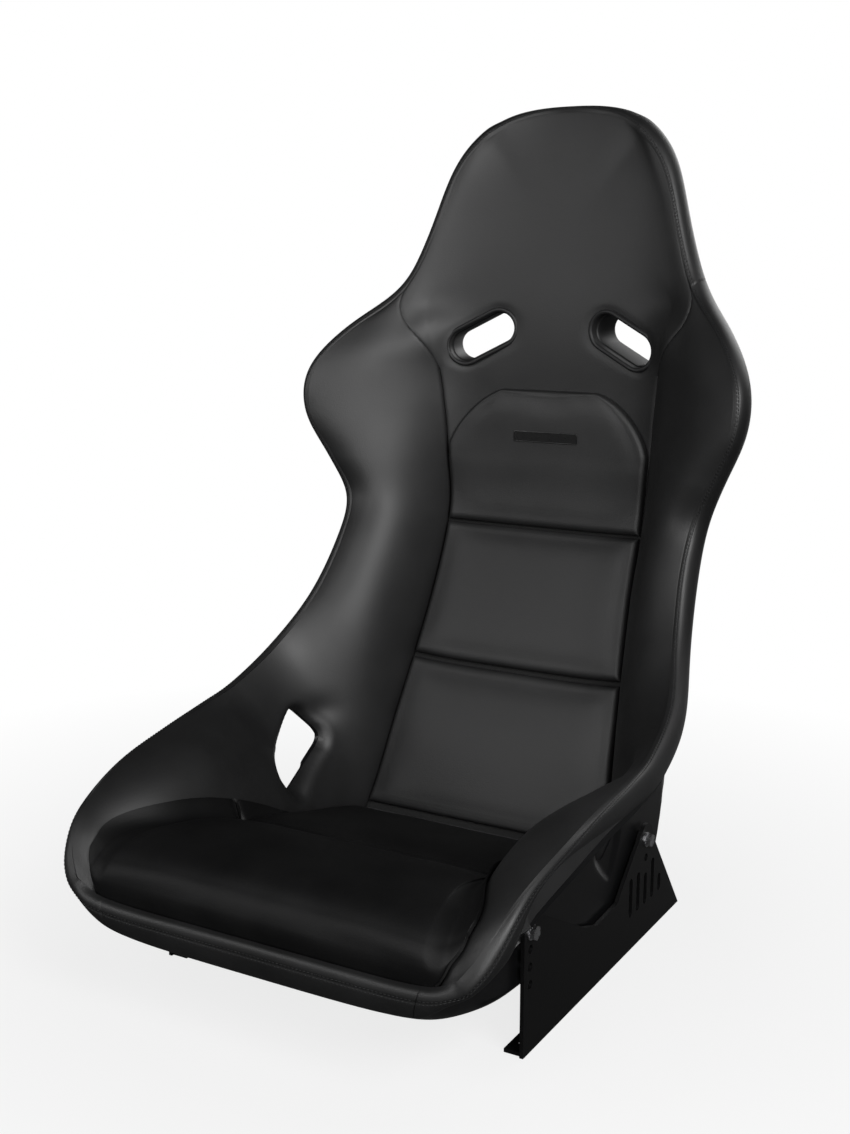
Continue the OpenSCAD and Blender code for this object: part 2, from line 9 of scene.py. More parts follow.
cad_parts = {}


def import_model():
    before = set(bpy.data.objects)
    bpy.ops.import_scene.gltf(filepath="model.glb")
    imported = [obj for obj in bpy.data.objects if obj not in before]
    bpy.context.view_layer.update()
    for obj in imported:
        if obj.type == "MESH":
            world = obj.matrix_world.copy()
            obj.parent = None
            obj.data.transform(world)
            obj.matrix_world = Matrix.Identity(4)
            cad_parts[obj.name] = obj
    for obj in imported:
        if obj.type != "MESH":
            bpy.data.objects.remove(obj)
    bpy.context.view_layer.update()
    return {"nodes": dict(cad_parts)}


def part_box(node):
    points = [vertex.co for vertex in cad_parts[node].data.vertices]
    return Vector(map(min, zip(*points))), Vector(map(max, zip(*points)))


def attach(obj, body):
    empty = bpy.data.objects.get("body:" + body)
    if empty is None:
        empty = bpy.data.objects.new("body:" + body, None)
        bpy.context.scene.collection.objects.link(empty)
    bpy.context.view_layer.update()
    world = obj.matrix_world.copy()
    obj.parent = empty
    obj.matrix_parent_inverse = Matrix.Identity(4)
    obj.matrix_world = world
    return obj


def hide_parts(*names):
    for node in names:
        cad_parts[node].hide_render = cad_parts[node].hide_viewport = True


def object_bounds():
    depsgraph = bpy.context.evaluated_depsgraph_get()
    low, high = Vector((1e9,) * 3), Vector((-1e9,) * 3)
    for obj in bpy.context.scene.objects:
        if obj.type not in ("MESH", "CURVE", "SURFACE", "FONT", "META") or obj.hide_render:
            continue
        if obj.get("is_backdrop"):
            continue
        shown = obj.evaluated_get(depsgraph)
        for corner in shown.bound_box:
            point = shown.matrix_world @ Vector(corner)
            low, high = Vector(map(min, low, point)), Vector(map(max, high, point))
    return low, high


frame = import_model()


# ---- Camera and studio -----------------------------------------------------------------
# A long lens looks down a little on the seat from its left front.  The studio is a pale
# floor under a white sky.  The strongest lamps stand on the lens's right and above it, a
# weak one on its left, and one behind the seat draws out its edges.
FOCAL, PICTURE_H, SENSOR = 1484.98, 1134, 36
SEAT_MIDDLE = (0, 0.05, 0.45)
collection = bpy.context.scene.collection
camera = bpy.data.objects.new("camera", bpy.data.cameras.new("camera"))
collection.objects.link(camera)
camera.location = (0.77914, -1.31494, 0.74315)
camera.rotation_euler = (radians(90 - 11.72), 0, radians(30.13))
camera.data.sensor_fit = "AUTO"
camera.data.sensor_width = SENSOR
camera.data.lens = FOCAL / PICTURE_H * SENSOR
bpy.context.scene.camera = camera
bpy.context.scene.view_settings.view_transform = "Standard"


def lamp(name, place, aim, size, power):
    """A rectangular lamp, in metres and watts, turned to what it lights."""
    data = bpy.data.lights.new(name, "AREA")
    data.shape = "RECTANGLE"
    data.size, data.size_y = size
    data.energy = power
    thing = bpy.data.objects.new(name, data)
    thing.location = place
    thing.rotation_euler = (Vector(aim) - Vector(place)).to_track_quat("-Z", "Y").to_euler()
    collection.objects.link(thing)


lamp("lamp_right", (1.84, -1.01, 1.77), SEAT_MIDDLE, (1.0, 1.0), 58)
lamp("lamp_front", (0, -2.07, 1.77), SEAT_MIDDLE, (1.1, 1.1), 23)
lamp("lamp_low", (1.24, -2.09, 0.8), SEAT_MIDDLE, (1.2, 0.9), 27)
lamp("lamp_left", (-1.6, -1.75, 1.15), SEAT_MIDDLE, (1.0, 0.9), 12)
lamp("lamp_back", (0.5, 2.3, 1.6), (0, 0.2, 0.45), (1.4, 1.4), 24)


def set_inputs(node, **values):
    """Sets a node's inputs.  An underscore in a name stands for a space."""
    for name, value in values.items():
        node.inputs[name.replace("_", " ")].default_value = value
    return node


def new_node(tree, kind, **values):
    return set_inputs(tree.nodes.new("ShaderNode" + kind), **values)


def new_math(tree, operation):
    made = new_node(tree, "Math")
    made.operation = operation
    return made


def wire(start, output, end, into):
    """Links one node's output to another's input, each by name or number."""
    end.id_data.links.new(start.outputs[output], end.inputs[into])


def node_material(name, **values):
    """A new material, and its main shader with the inputs given."""
    material = bpy.data.materials.new(name)
    material.use_nodes = True
    return material, set_inputs(material.node_tree.nodes["Principled BSDF"], **values)


# The sky is white to look at.  Its own light is faint, and what shines shows it white only
# low down behind the seat, where a backdrop would stand.
WHITE, SKY_LIGHT = (1, 1, 1, 1), 0.05
world = bpy.data.worlds.new("studio")
bpy.context.scene.world = world
world.use_nodes = True
tree = world.node_tree
faint = set_inputs(tree.nodes["Background"], Color=WHITE, Strength=SKY_LIGHT)
white = new_node(tree, "Background", Color=WHITE)
where, way = new_node(tree, "TexCoord"), new_node(tree, "SeparateXYZ")
low = new_node(tree, "MapRange", From_Min=0.12, From_Max=0.0)
behind = new_node(tree, "MapRange", From_Min=0.9, From_Max=0.97)
low.interpolation_type = behind.interpolation_type = "SMOOTHSTEP"
backdrop, shiny = new_math(tree, "MULTIPLY"), new_math(tree, "MULTIPLY")
either, clear = new_math(tree, "MAXIMUM"), new_math(tree, "MAXIMUM")
path, choice = new_node(tree, "LightPath"), new_node(tree, "MixShader")
wire(where, "Generated", way, 0)
wire(way, "Z", low, "Value")
wire(way, "Y", behind, "Value")
wire(low, "Result", backdrop, 0)
wire(behind, "Result", backdrop, 1)
wire(path, "Is Glossy Ray", shiny, 0)
wire(backdrop, 0, shiny, 1)
wire(path, "Is Camera Ray", either, 0)
wire(path, "Is Transmission Ray", either, 1)
wire(either, 0, clear, 0)
wire(shiny, 0, clear, 1)
wire(clear, 0, choice, 0)
wire(faint, 0, choice, 1)
wire(white, 0, choice, 2)
wire(choice, 0, tree.nodes["World Output"], "Surface")

# The floor lies just under the mounts.  Away from the seat it fades into the white of the
# sky, and near it its own tone keeps a share and shows the shadow.
FLOOR_REACH, FLOOR_GAP = 60, 0.0005
floor_mesh = bpy.data.meshes.new("floor")
floor_mesh.from_pydata([(x * FLOOR_REACH, y * FLOOR_REACH, 0)
                        for x, y in ((-1, -1), (1, -1), (1, 1), (-1, 1))], [], [(0, 1, 2, 3)])
floor = bpy.data.objects.new("floor", floor_mesh)
floor.location.z = -FLOOR_GAP
collection.objects.link(floor)
pale, shader = node_material("pale_floor", Base_Color=(0.42, 0.42, 0.42, 1), Roughness=0.9,
                             Specular_IOR_Level=0.1)
tree = shader.id_data
where, away = new_node(tree, "TexCoord"), new_node(tree, "VectorMath")
away.operation = "LENGTH"
fade = new_node(tree, "MapRange", From_Min=0.35, From_Max=1.1, To_Min=0.8)
path, share = new_node(tree, "LightPath"), new_math(tree, "MULTIPLY")
bright, blend = new_node(tree, "Emission"), new_node(tree, "MixShader")
wire(where, "Object", away, 0)
wire(away, "Value", fade, "Value")
wire(path, "Is Camera Ray", share, 0)
wire(fade, "Result", share, 1)
wire(share, 0, blend, 0)
wire(shader, 0, blend, 1)
wire(bright, 0, blend, 2)
wire(blend, 0, tree.nodes["Material Output"], "Surface")
floor_mesh.materials.append(pale)
floor.visible_glossy = False
floor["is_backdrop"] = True


# ---- Moulded shell ---------------------------------------------------------------------
# One thin moulding carries everything: it wraps the thighs, waist and shoulders and ends
# in the head part.  Its outside is bare and glossy, and the edge is hidden by leather.
# Lengths are in millimetres; rows of the seat run from the front lip to the top of the
# head, columns from the right rim over the middle to the left rim.
MM = 0.001
HIP, WAIST, WING, NECK, HEAD, PAD = 261, 221, 272, 172, 124, 131
LIP_H, THIGH_H, WAIST_H, SHOULDER_H, NECK_H, TOP_H = 122, 245, 405, 590, 733, 923
WALL, RIM_T, BAND_H, BAND_BULGE, LINER_T = 5, 18, 22, 8, 9
FRONT_Y, BACK_Y = -298, 334
FLAT_X, FLAT_TOP = 207, 175
PAN = WALL + LINER_T

# Cross sections from the front lip to the top of the head part:
#   rim x, y, z, | shell's middle y, z | foam's middle y, z | shell's corner |
#   seam x and depth | crest place and depth
SECTIONS = np.array([
    [HIP - 36, FRONT_Y, LIP_H + 11, FRONT_Y + 7, LIP_H - 23, FRONT_Y + 7, LIP_H, .84, 187, 0, .5, .2],
    [HIP - 23, FRONT_Y + 18, LIP_H + 45, FRONT_Y + 18, 82, FRONT_Y + 24, 97, .78, 186, 0, .45, 1],
    [HIP - 13, -245, THIGH_H - 45, -248, 70, -246, 68 + PAN, .77, 178, 0, .35, 1],
    [HIP - 4, -180, THIGH_H - 24, -184, 62, -183, 62 + PAN, .78, 165, 0, .03, 1],
    [HIP - 2, -100, THIGH_H - 10, -95, 54, -94, 54 + PAN, .78, 155, 0, 0, 1],
    [HIP, -25, THIGH_H, -10, 46, -9, 46 + PAN, .8, 154, 0, .15, .88],
    [HIP - 1, 30, THIGH_H + 10, 75, 40, 75, 40 + PAN, .8, 162, 0, .22, .7],
    [HIP - 9, 102, THIGH_H + 42, 172, 52, 156, 78, .84, 158, 0, .3, .66],
    [WAIST + 11, 160, WAIST_H - 64, 244, 170, 215, 188, .84, 147, .02, .2, .95],
    [WAIST, 203, WAIST_H, BACK_Y - 25, 308, BACK_Y - 52, 325, .82, PAD + 3, .05, .3, 1.08],
    [WAIST + 2, 228, WAIST_H + 50, BACK_Y + 17, 425, BACK_Y - 8, 430, .74, PAD, .08, .4, 1.12],
    [WING - 27, 219, SHOULDER_H - 85, BACK_Y + 29, 498, BACK_Y, 499, .7, PAD + 4, .12, .45, 1],
    [WING - 1, 206, SHOULDER_H - 30, BACK_Y + 32, 560, BACK_Y, 560, .74, PAD + 8, .13, .5, .85],
    [WING - 2, 215, SHOULDER_H + 22, BACK_Y + 33, 616, BACK_Y - 1, 616, .72, PAD + 15, .18, .5, .8],
    [WING - 35, 254, SHOULDER_H + 69, BACK_Y + 34, 664, BACK_Y, 663, .74, PAD + 26, .42, .5, .95],
    [NECK + 26, BACK_Y - 39, NECK_H - 41, BACK_Y + 36, 702, BACK_Y + 3, 700, .8, PAD + 47, .65, .5, .95],
    [NECK, BACK_Y - 20, NECK_H, BACK_Y + 41, 745, BACK_Y + 9, 742, .82, NECK - 25, .7, .5, .92],
    [HEAD + 27, BACK_Y - 6, TOP_H - 126, BACK_Y + 48, TOP_H - 111, BACK_Y + 18, TOP_H - 115,
     .78, HEAD + 4, .55, .5, .85],
    [HEAD + 12, BACK_Y + 6, TOP_H - 71, BACK_Y + 54, TOP_H - 51, BACK_Y + 27, TOP_H - 53,
     .79, HEAD - 10, .5, .5, .85],
    [HEAD - 24, BACK_Y + 15, TOP_H - 31, BACK_Y + 54, TOP_H - 12, BACK_Y + 39, TOP_H - 3,
     .77, HEAD - 46, .5, .5, .75]], float)
LAST = len(SECTIONS) - 1
RIM_AT, SHELL_Y, SHELL_Z, FOAM_Y, FOAM_Z, CORNER = slice(0, 3), 3, 4, 5, 6, 7
SEAM_X, SEAM_DEPTH, CREST_X, CREST_DEPTH = 8, 9, 10, 11
SEAM, RIM = 4, 9
HIP_ROW, PANEL_ROW, NECK_ROW = 7, 11, 15.5
SHELL_POWER, PANEL_POWER, FLAT_BLEND = 5, 4, 16


def at(table, s):
    """Rows of a table at places s, on a smooth curve through the rows."""
    s = np.asarray(s, float)
    n = len(table)
    i = np.clip(np.floor(s), 0, n - 2).astype(int)
    t = (s - i)[..., None]
    p1, p2 = table[i], table[i + 1]
    p0 = np.where((i > 0)[..., None], table[np.maximum(i - 1, 0)], 2 * p1 - p2)
    p3 = np.where((i + 2 < n)[..., None], table[np.minimum(i + 2, n - 1)], 2 * p2 - p1)
    return (p1 + (p2 - p0) * t / 2 + (2 * p0 - 5 * p1 + 4 * p2 - p3) * t * t / 2
            + (3 * p1 - p0 - 3 * p2 + p3) * t ** 3 / 2)


def unit(v):
    return v / np.maximum(np.linalg.norm(v, axis=-1, keepdims=True), 1e-12)


def points(x, y, z):
    return np.stack(np.broadcast_arrays(x, y, z), axis=-1)


def mix(a, b, t):
    return a + (b - a) * t


def ease(t):
    t = np.clip(t, 0, 1)
    return t * t * (3 - 2 * t)


def mirrored(verts):
    return np.asarray(verts) * np.array([-1, 1, 1])


def shell_lines(r):
    """Middle and corner of the shell's outside, and its edge: out from the rim and down."""
    rim, y, z = r[..., RIM_AT], r[..., SHELL_Y], r[..., SHELL_Z]
    corner = points(r[..., CORNER] * r[..., 0], y, z)
    up = unit(rim - corner)
    out = unit(np.array([1.0, 0, 0]) - up * up[..., 0:1])
    return points(0, y, z), corner, rim + RIM_T * out - BAND_H * up


def drawn_shell(s, c):
    """Outside of the shell at row s and column c, from -RIM to RIM."""
    s, c = np.broadcast_arrays(s, c)
    middle, corner, edge = shell_lines(at(SECTIONS, s))
    t = (np.abs(c) / RIM)[..., None]
    a, b = (1 - t) ** SHELL_POWER, t ** SHELL_POWER
    p = a * middle + (1 - a - b) * corner + b * edge
    rise = np.maximum(0, p[..., 2] - FLAT_TOP) / np.maximum(1, edge[..., 2] - FLAT_TOP)
    limit = mix(FLAT_X, edge[..., 0], np.minimum(1, rise))
    flat = ease((edge[..., 2] - FLAT_TOP + FLAT_BLEND / 4) / FLAT_BLEND)
    p[..., 0] = mix(p[..., 0], np.minimum(p[..., 0], limit), flat) * np.sign(c)
    return p


def drawn_face(s, c):
    """Face of the foam at row s and column c: the panel up to the seam, then the bolster."""
    s, c = np.broadcast_arrays(s, c)
    r = at(SECTIONS, s)
    across = np.abs(c)
    middle, rim = points(0, r[..., FOAM_Y], r[..., FOAM_Z]), r[..., RIM_AT]
    low, high = (mix(middle, rim, r[..., k, None]) for k in (SEAM_DEPTH, CREST_DEPTH))
    seam = points(r[..., SEAM_X], low[..., 1], low[..., 2])
    crest = points(mix(r[..., SEAM_X], r[..., 0], r[..., CREST_X]), high[..., 1], high[..., 2])
    u = np.minimum(across / SEAM, 1)
    panel = mix(middle, seam, u[..., None] ** PANEL_POWER)
    panel[..., 0] = seam[..., 0] * u
    t = np.clip((across - SEAM) / (RIM - SEAM), 0, 1)[..., None]
    side = (1 - t) ** 2 * seam + 2 * t * (1 - t) * crest + t * t * rim
    p = np.where((across <= SEAM)[..., None], panel, side)
    p[..., 0] *= np.sign(c)
    return p


def smooth_line(p, passes):
    """Rounds a polyline off, with its ends kept."""
    for _ in range(passes):
        p = p.copy()
        p[1:-1] = (p[:-2] + 2 * p[1:-1] + p[2:]) / 4
    return p


def relaxed(g, passes):
    """A grid pulled taut like leather over foam, with its edges kept."""
    for _ in range(passes):
        g = g.copy()
        g[1:-1, 1:-1] = (g[:-2, 1:-1] + g[2:, 1:-1] + g[1:-1, :-2] + g[1:-1, 2:]
                         + 4 * g[1:-1, 1:-1]) / 8
    return g


# The leather is pulled taut over the neck and the head, so the hollows that the drawn
# sections leave there are bridged.  Round the slots it stays as drawn.  TAUT_FROM has the
# row where the pull sets in and over how many rows, in the middle and at the sides.
TAUT_ROW, TAUT_STEPS, TAUT_COLUMNS = 12, 85, 145
SIDE_PASSES, TOP_PASSES, FACE_PASSES = 40, 400, 400
TAUT_FROM = ((13.5, 3), (12.2, 2.4))
taut_rows = np.linspace(TAUT_ROW, LAST, TAUT_STEPS)
taut_columns = np.linspace(-RIM, RIM, TAUT_COLUMNS)
drawn = drawn_face(taut_rows[:, None], taut_columns[None, :])
pulled = drawn.copy()
for edge in (0, -1):
    pulled[:, edge] = smooth_line(pulled[:, edge], SIDE_PASSES)
pulled[-1] = smooth_line(pulled[-1], TOP_PASSES)
pulled = relaxed(pulled, FACE_PASSES)
in_middle, at_sides = (ease((taut_rows[:, None] - start) / reach)
                       for start, reach in TAUT_FROM)
by_row = mix(in_middle, at_sides, ease((np.abs(taut_columns)[None, :] - SEAM + 1) / 3))
taut_moves = (pulled - drawn) * by_row[..., None]


def grid_step(x, start, stop, count):
    """Which step of an even grid x lies in, and how far along that step."""
    place = np.clip((x - start) / (stop - start) * (count - 1), 0, count - 1.001)
    step = place.astype(int)
    return step, (place - step)[..., None]


def pulled_taut(s, c):
    """How far the leather at row s and column c stands off the drawn face."""
    s, c = np.broadcast_arrays(s, c)
    i, v = grid_step(s, TAUT_ROW, LAST, TAUT_STEPS)
    j, u = grid_step(c, -RIM, RIM, TAUT_COLUMNS)
    return mix(mix(taut_moves[i, j], taut_moves[i, j + 1], u),
               mix(taut_moves[i + 1, j], taut_moves[i + 1, j + 1], u), v)


def run_of(line):
    """Distance of each point of a line from its start, along it."""
    return np.append(0, np.cumsum(np.linalg.norm(np.diff(line, axis=0), axis=1)))


def sampled(line, run, places):
    """Points of a line, or vectors along it, at other distances from its start."""
    return np.stack([np.interp(places, run, line[:, i]) for i in range(3)], 1)


# Over the head and at the lip the edge turns in one smooth arch: its corners are rounded
# off, and what lies near them goes along.
ARCH_STEP, ARCH_SPREAD, ARCH_REACH = 4.0, 11, 60
ARCH_PLACES, ARCHES = (80, 160), ((15.5, LAST), (3.5, 0))


def arches(face, *passes):
    """For both arches: the edge as a face draws it, and how far each place of it moves."""
    found = []
    for (foot, end), count in zip(ARCHES, passes):
        up = face(np.linspace(foot, end, ARCH_PLACES[0]), RIM)
        over = face(end, np.linspace(RIM, -RIM, ARCH_PLACES[1]))
        line = np.concatenate([up, over[1:-1], mirrored(up)[::-1]])
        run = run_of(line)
        line = sampled(line, run, np.arange(0, run[-1], ARCH_STEP))
        found.append((foot, end, line, smooth_line(line, count) - line))
    return found


def rounded_off(p, s, found):
    """Points at row s, moved along with the rounded edge."""
    flat = p.reshape(-1, 3).copy()
    row = np.broadcast_to(s, p.shape[:-1]).ravel()
    for foot, end, line, moves in found:
        share = (row - foot) / np.sign(end - foot)
        pick = np.nonzero(share > 0)[0]
        for some in np.array_split(pick, max(1, len(pick) // 4000)):
            if len(some):
                far = ((flat[some, None] - line[None]) ** 2).sum(-1)
                nearest = far.min(1, keepdims=True)
                w = np.exp((nearest - far) / ARCH_SPREAD ** 2)
                move = (w @ moves) / w.sum(1, keepdims=True) * np.exp(-nearest / ARCH_REACH ** 2)
                flat[some] += move * ease(share[some, None])
    return flat.reshape(p.shape)


def taut_face(s, c):
    """The drawn face of the foam with its leather pulled taut."""
    return drawn_face(s, c) + pulled_taut(s, c)


foam_arches, shell_arches = arches(taut_face, 80, 110), arches(drawn_shell, 110, 330)


def foam_face(s, c):
    """The face of the foam with the rounded edge at the head and the lip."""
    return rounded_off(taut_face(s, c), s, foam_arches)


def shell_face(s, c):
    """The outside of the shell with the same rounded edge."""
    return rounded_off(drawn_shell(s, c), s, shell_arches)


def normals(g):
    """Unit normals of a grid of points, towards whoever sits in the seat."""
    return unit(np.cross(np.gradient(g, axis=1), np.gradient(g, axis=0)))


def grid(rows, columns):
    return np.asarray(rows, float)[:, None], np.asarray(columns, float)[None, :]


def finish_mesh(piece, smooth=35):
    """Outward faces, and soft shading except over sharp edges."""
    work = bmesh.new()
    work.from_mesh(piece.data)
    bmesh.ops.remove_doubles(work, verts=work.verts, dist=1e-6)
    bmesh.ops.recalc_face_normals(work, faces=work.faces)
    work.to_mesh(piece.data)
    work.free()
    for polygon in piece.data.polygons:
        polygon.use_smooth = True
    piece.data.set_sharp_from_angle(angle=radians(smooth))


def obj(name, verts, faces, material, smooth=35):
    """A mesh object from points in millimetres."""
    mesh = bpy.data.meshes.new(name)
    mesh.from_pydata([tuple(v) for v in np.asarray(verts, float).reshape(-1, 3) * MM], [],
                     [tuple(int(i) for i in f) for f in faces])
    mesh.validate()
    mesh.materials.append(material)
    piece = bpy.data.objects.new(name, mesh)
    collection.objects.link(piece)
    finish_mesh(piece, smooth)
    return piece


def quads(cell):
    """Four-cornered faces between neighbours in a grid of point numbers."""
    return np.stack([cell[:-1, :-1], cell[1:, :-1], cell[1:, 1:], cell[:-1, 1:]],
                    -1).reshape(-1, 4)


def slab(lower, upper):
    """Points and faces of the closed solid between two grids."""
    n, m = lower.shape[:2]
    cell = np.arange(n * m).reshape(n, m)
    top = cell + n * m
    faces = [*quads(cell), *quads(top)]
    for line, roof in ((cell[0], top[0]), (cell[-1], top[-1]), (cell[:, 0], top[:, 0]),
                       (cell[:, -1], top[:, -1])):
        faces += list(np.stack([line[:-1], line[1:], roof[1:], roof[:-1]], -1))
    return np.concatenate([lower.reshape(-1, 3), upper.reshape(-1, 3)]), faces


def joined(*meshes):
    """Several meshes' points and faces as one."""
    verts, faces, n = [], [], 0
    for v, f in meshes:
        verts.append(np.asarray(v, float).reshape(-1, 3))
        faces += [[int(i) + n for i in face] for face in f]
        n += len(verts[-1])
    return np.concatenate(verts), faces


def both(verts, faces):
    """A mesh and its mirror image, as one."""
    return joined((verts, faces), (mirrored(verts), faces))


def cut(piece, *cutters):
    """Takes closed cutters away from a piece, and deletes them."""
    for cutter in cutters:
        tool = piece.modifiers.new("cut", "BOOLEAN")
        tool.operation = "DIFFERENCE"
        tool.solver = "EXACT"
        tool.object = cutter
    seen_by = bpy.context.evaluated_depsgraph_get()
    result = bpy.data.meshes.new_from_object(piece.evaluated_get(seen_by))
    piece.modifiers.clear()
    piece.data = result
    for cutter in cutters:
        bpy.data.objects.remove(cutter)
    finish_mesh(piece)


def loft(rings):
    """Points and faces of outlines joined one to the next and closed at both ends."""
    cell = np.arange(len(rings) * len(rings[0])).reshape(len(rings), -1)
    turn = np.roll(cell, -1, axis=1)
    faces = np.stack([cell[:-1], turn[:-1], turn[1:], cell[1:]], -1).reshape(-1, 4)
    return np.concatenate(rings), [*faces, cell[0, ::-1], cell[-1]]


def prism(outline, place, along, start, stop):
    """Points and faces of an outline pushed along its axis.  place(p) takes it to the seat."""
    return loft([place(outline) + np.asarray(along) * d for d in (start, stop)])


def rounded(length, width, r, steps):
    """Outline of a rectangle with round corners."""
    out = []
    for k, (sx, sy) in enumerate(((1, 1), (-1, 1), (-1, -1), (1, -1))):
        for a in np.linspace(k * pi / 2, (k + 1) * pi / 2, steps):
            out.append((sx * (length / 2 - r) + r * cos(a), sy * (width / 2 - r) + r * sin(a)))
    return np.array(out)


def row_at(z, rows):
    """The one of some rows in which the foam's middle is nearest to height z."""
    return rows[np.argmin(np.abs(at(SECTIONS, rows)[:, FOAM_Z] - z))]


# Harness slots: their frame stands on the foam's face and leans with it.
SLOT_L, SLOT_W, SLOT_ANGLE, SLOT_X, SLOT_H, BEZEL_W, SLEEVE_T = 88, 39, 27, 93, 649, 5.5, 2.5
SLOT_PROBE, SLOT_BEHIND, SLOT_BEFORE = 8, 95, 30
slot_row = row_at(SLOT_H, np.linspace(12, 15, 1200))
slot_seam = at(SECTIONS, slot_row)[SEAM_X]
slot_at, before, after = (foam_face(slot_row, (SLOT_X + x) / slot_seam * SEAM)
                          for x in (0, -SLOT_PROBE, SLOT_PROBE))
slot_yaw = atan2(after[1] - before[1], after[0] - before[0])
slot_out = np.array([sin(slot_yaw), -cos(slot_yaw), 0])
slot_side = np.array([cos(slot_yaw), sin(slot_yaw), 0])
slot_back = BACK_Y + 36


def turned(u, v, angle):
    """Two coordinates turned by an angle in degrees."""
    a = radians(angle)
    return u * cos(a) - v * sin(a), u * sin(a) + v * cos(a)


def in_slot(p):
    """Points of the slot's own plane, in the seat's frame."""
    x, z = turned(p[..., 0], p[..., 1], -SLOT_ANGLE)
    return slot_at + x[..., None] * slot_side + z[..., None] * np.array([0, 0, 1.0])


def slot_outline(grow):
    return rounded(SLOT_L + 2 * grow, SLOT_W + 2 * grow, SLOT_W / 2 + grow - 0.01, 14)


def slot_cutter(grow):
    return both(*prism(slot_outline(grow), in_slot, slot_out, -SLOT_BEHIND, SLOT_BEFORE))


# Lap-belt openings: a slanted rounded rectangle through each side.
BELT_L, BELT_W, BELT_R, BELT_Y, BELT_H, BELT_ANGLE = 100, 54, 16, 66, 169, 32


def belt_distance(p):
    """Distance of points from the opening's outline, seen from the side; below 0 inside."""
    u, v = turned(p[..., 1] - BELT_Y, p[..., 2] - BELT_H, -BELT_ANGLE)
    qx, qy = np.abs(u) - (BELT_L / 2 - BELT_R), np.abs(v) - (BELT_W / 2 - BELT_R)
    outside = np.hypot(np.maximum(qx, 0), np.maximum(qy, 0))
    return outside + np.minimum(np.maximum(qx, qy), 0) - BELT_R


def belt_cutter():
    def place(p):
        y, z = turned(p[:, 0], p[:, 1], BELT_ANGLE)
        return points(0, BELT_Y + y, BELT_H + z)
    return both(*prism(rounded(BELT_L, BELT_W, BELT_R, 12), place, (1, 0, 0),
                       HIP - 140, HIP + 60))


BOLTS = [(-145, 125), (145, 115)]
INSERT_D = 14


def bolt_holes(x, r, length):
    """Round bars along X where the bolts go through both sides."""
    a = np.linspace(0, 2 * pi, 32, endpoint=False)
    ring = np.stack([r * np.cos(a), r * np.sin(a)], 1)
    return both(*joined(*[prism(ring + bolt, lambda p: points(x, p[:, 0], p[:, 1]), (1, 0, 0),
                                0, length) for bolt in BOLTS]))


# A shallow three-cornered recess is moulded into each flank ahead of the rear bolt.
RECESS, RECESS_R, RECESS_DEPTH = np.array([(84, 148), (22, 138), (62, 100)]), 7, 3.2
RECESS_SLOPE = 5


def in_recess(p):
    """1 inside the recess, seen from the side, falling to 0 over its sloping wall."""
    total = 0
    for a, b in zip(RECESS, np.roll(RECESS, -1, axis=0)):
        way = (b - a) / np.linalg.norm(b - a)
        d = (p[..., 1] - a[0]) * way[1] - (p[..., 2] - a[1]) * way[0]
        total = total + np.exp(np.clip(d, -200, 200) / RECESS_R)
    return ease((RECESS_R - np.log(total) * RECESS_R) / RECESS_SLOPE)


def texture(shader, kind, **values):
    """A texture that lies over the piece in its own space."""
    made = new_node(shader.id_data, kind, **values)
    wire(new_node(shader.id_data, "TexCoord"), "Object", made, "Vector")
    return made


def noise(shader, scale, detail=2):
    return texture(shader, "TexNoise", Scale=scale, Detail=detail)


def toned(shader, source, dark, light, low=0, high=1):
    """Colours a shader from dark to light as a node's first output goes from low to high."""
    tone = new_node(shader.id_data, "ValToRGB")
    first, last = tone.color_ramp.elements
    first.position, last.position = low, high
    first.color, last.color = (*dark, 1), (*light, 1)
    wire(source, 0, tone, "Fac")
    wire(tone, "Color", shader, "Base Color")


def bumped(shader, source, strength, distance):
    relief = new_node(shader.id_data, "Bump", Strength=strength, Distance=distance)
    wire(source, 0, relief, "Height")
    wire(relief, "Normal", shader, "Normal")


def roughened(shader, source, least, most, **values):
    """Gives a shader a roughness between two that follows a node's first output."""
    spread = new_node(shader.id_data, "MapRange", To_Min=least, To_Max=most, **values)
    wire(source, 0, spread, "Value")
    wire(spread, "Result", shader, "Roughness")


gloss, shader = node_material("moulded_shell", Roughness=0.32, Specular_IOR_Level=0.25,
                              Coat_Weight=0.1, Coat_Roughness=0.12)
toned(shader, noise(shader, 9, 4), (0.002, 0.002, 0.0022), (0.004, 0.004, 0.0043))
bumped(shader, noise(shader, 900), 0.05, 0.0004)

# Rows and columns lie closer together where the openings are cut.
half = np.concatenate([np.linspace(0, 5.2, 33, endpoint=False), np.linspace(5.2, RIM, 44)])
rows, columns = grid(np.concatenate([np.linspace(0, 5, 41, endpoint=False),
                                     np.linspace(5, 7.6, 60, endpoint=False),
                                     np.linspace(7.6, LAST, 100)]),
                     np.concatenate([-half[:0:-1], half]))
outside = shell_face(rows, columns)
inside = outside + WALL * normals(outside)
outside[..., 0] -= np.sign(columns) * (np.abs(columns) > 5) * RECESS_DEPTH * in_recess(outside)
shell = obj("shell_moulding", *slab(outside, inside), gloss, 40)
cut(shell, obj("c1", *slot_cutter(SLEEVE_T + 0.3), gloss), obj("c2", *belt_cutter(), gloss),
    obj("c3", *bolt_holes(FLAT_X - 25, INSERT_D / 2, 60), gloss))
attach(shell, "seat")
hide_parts("seat_shell")


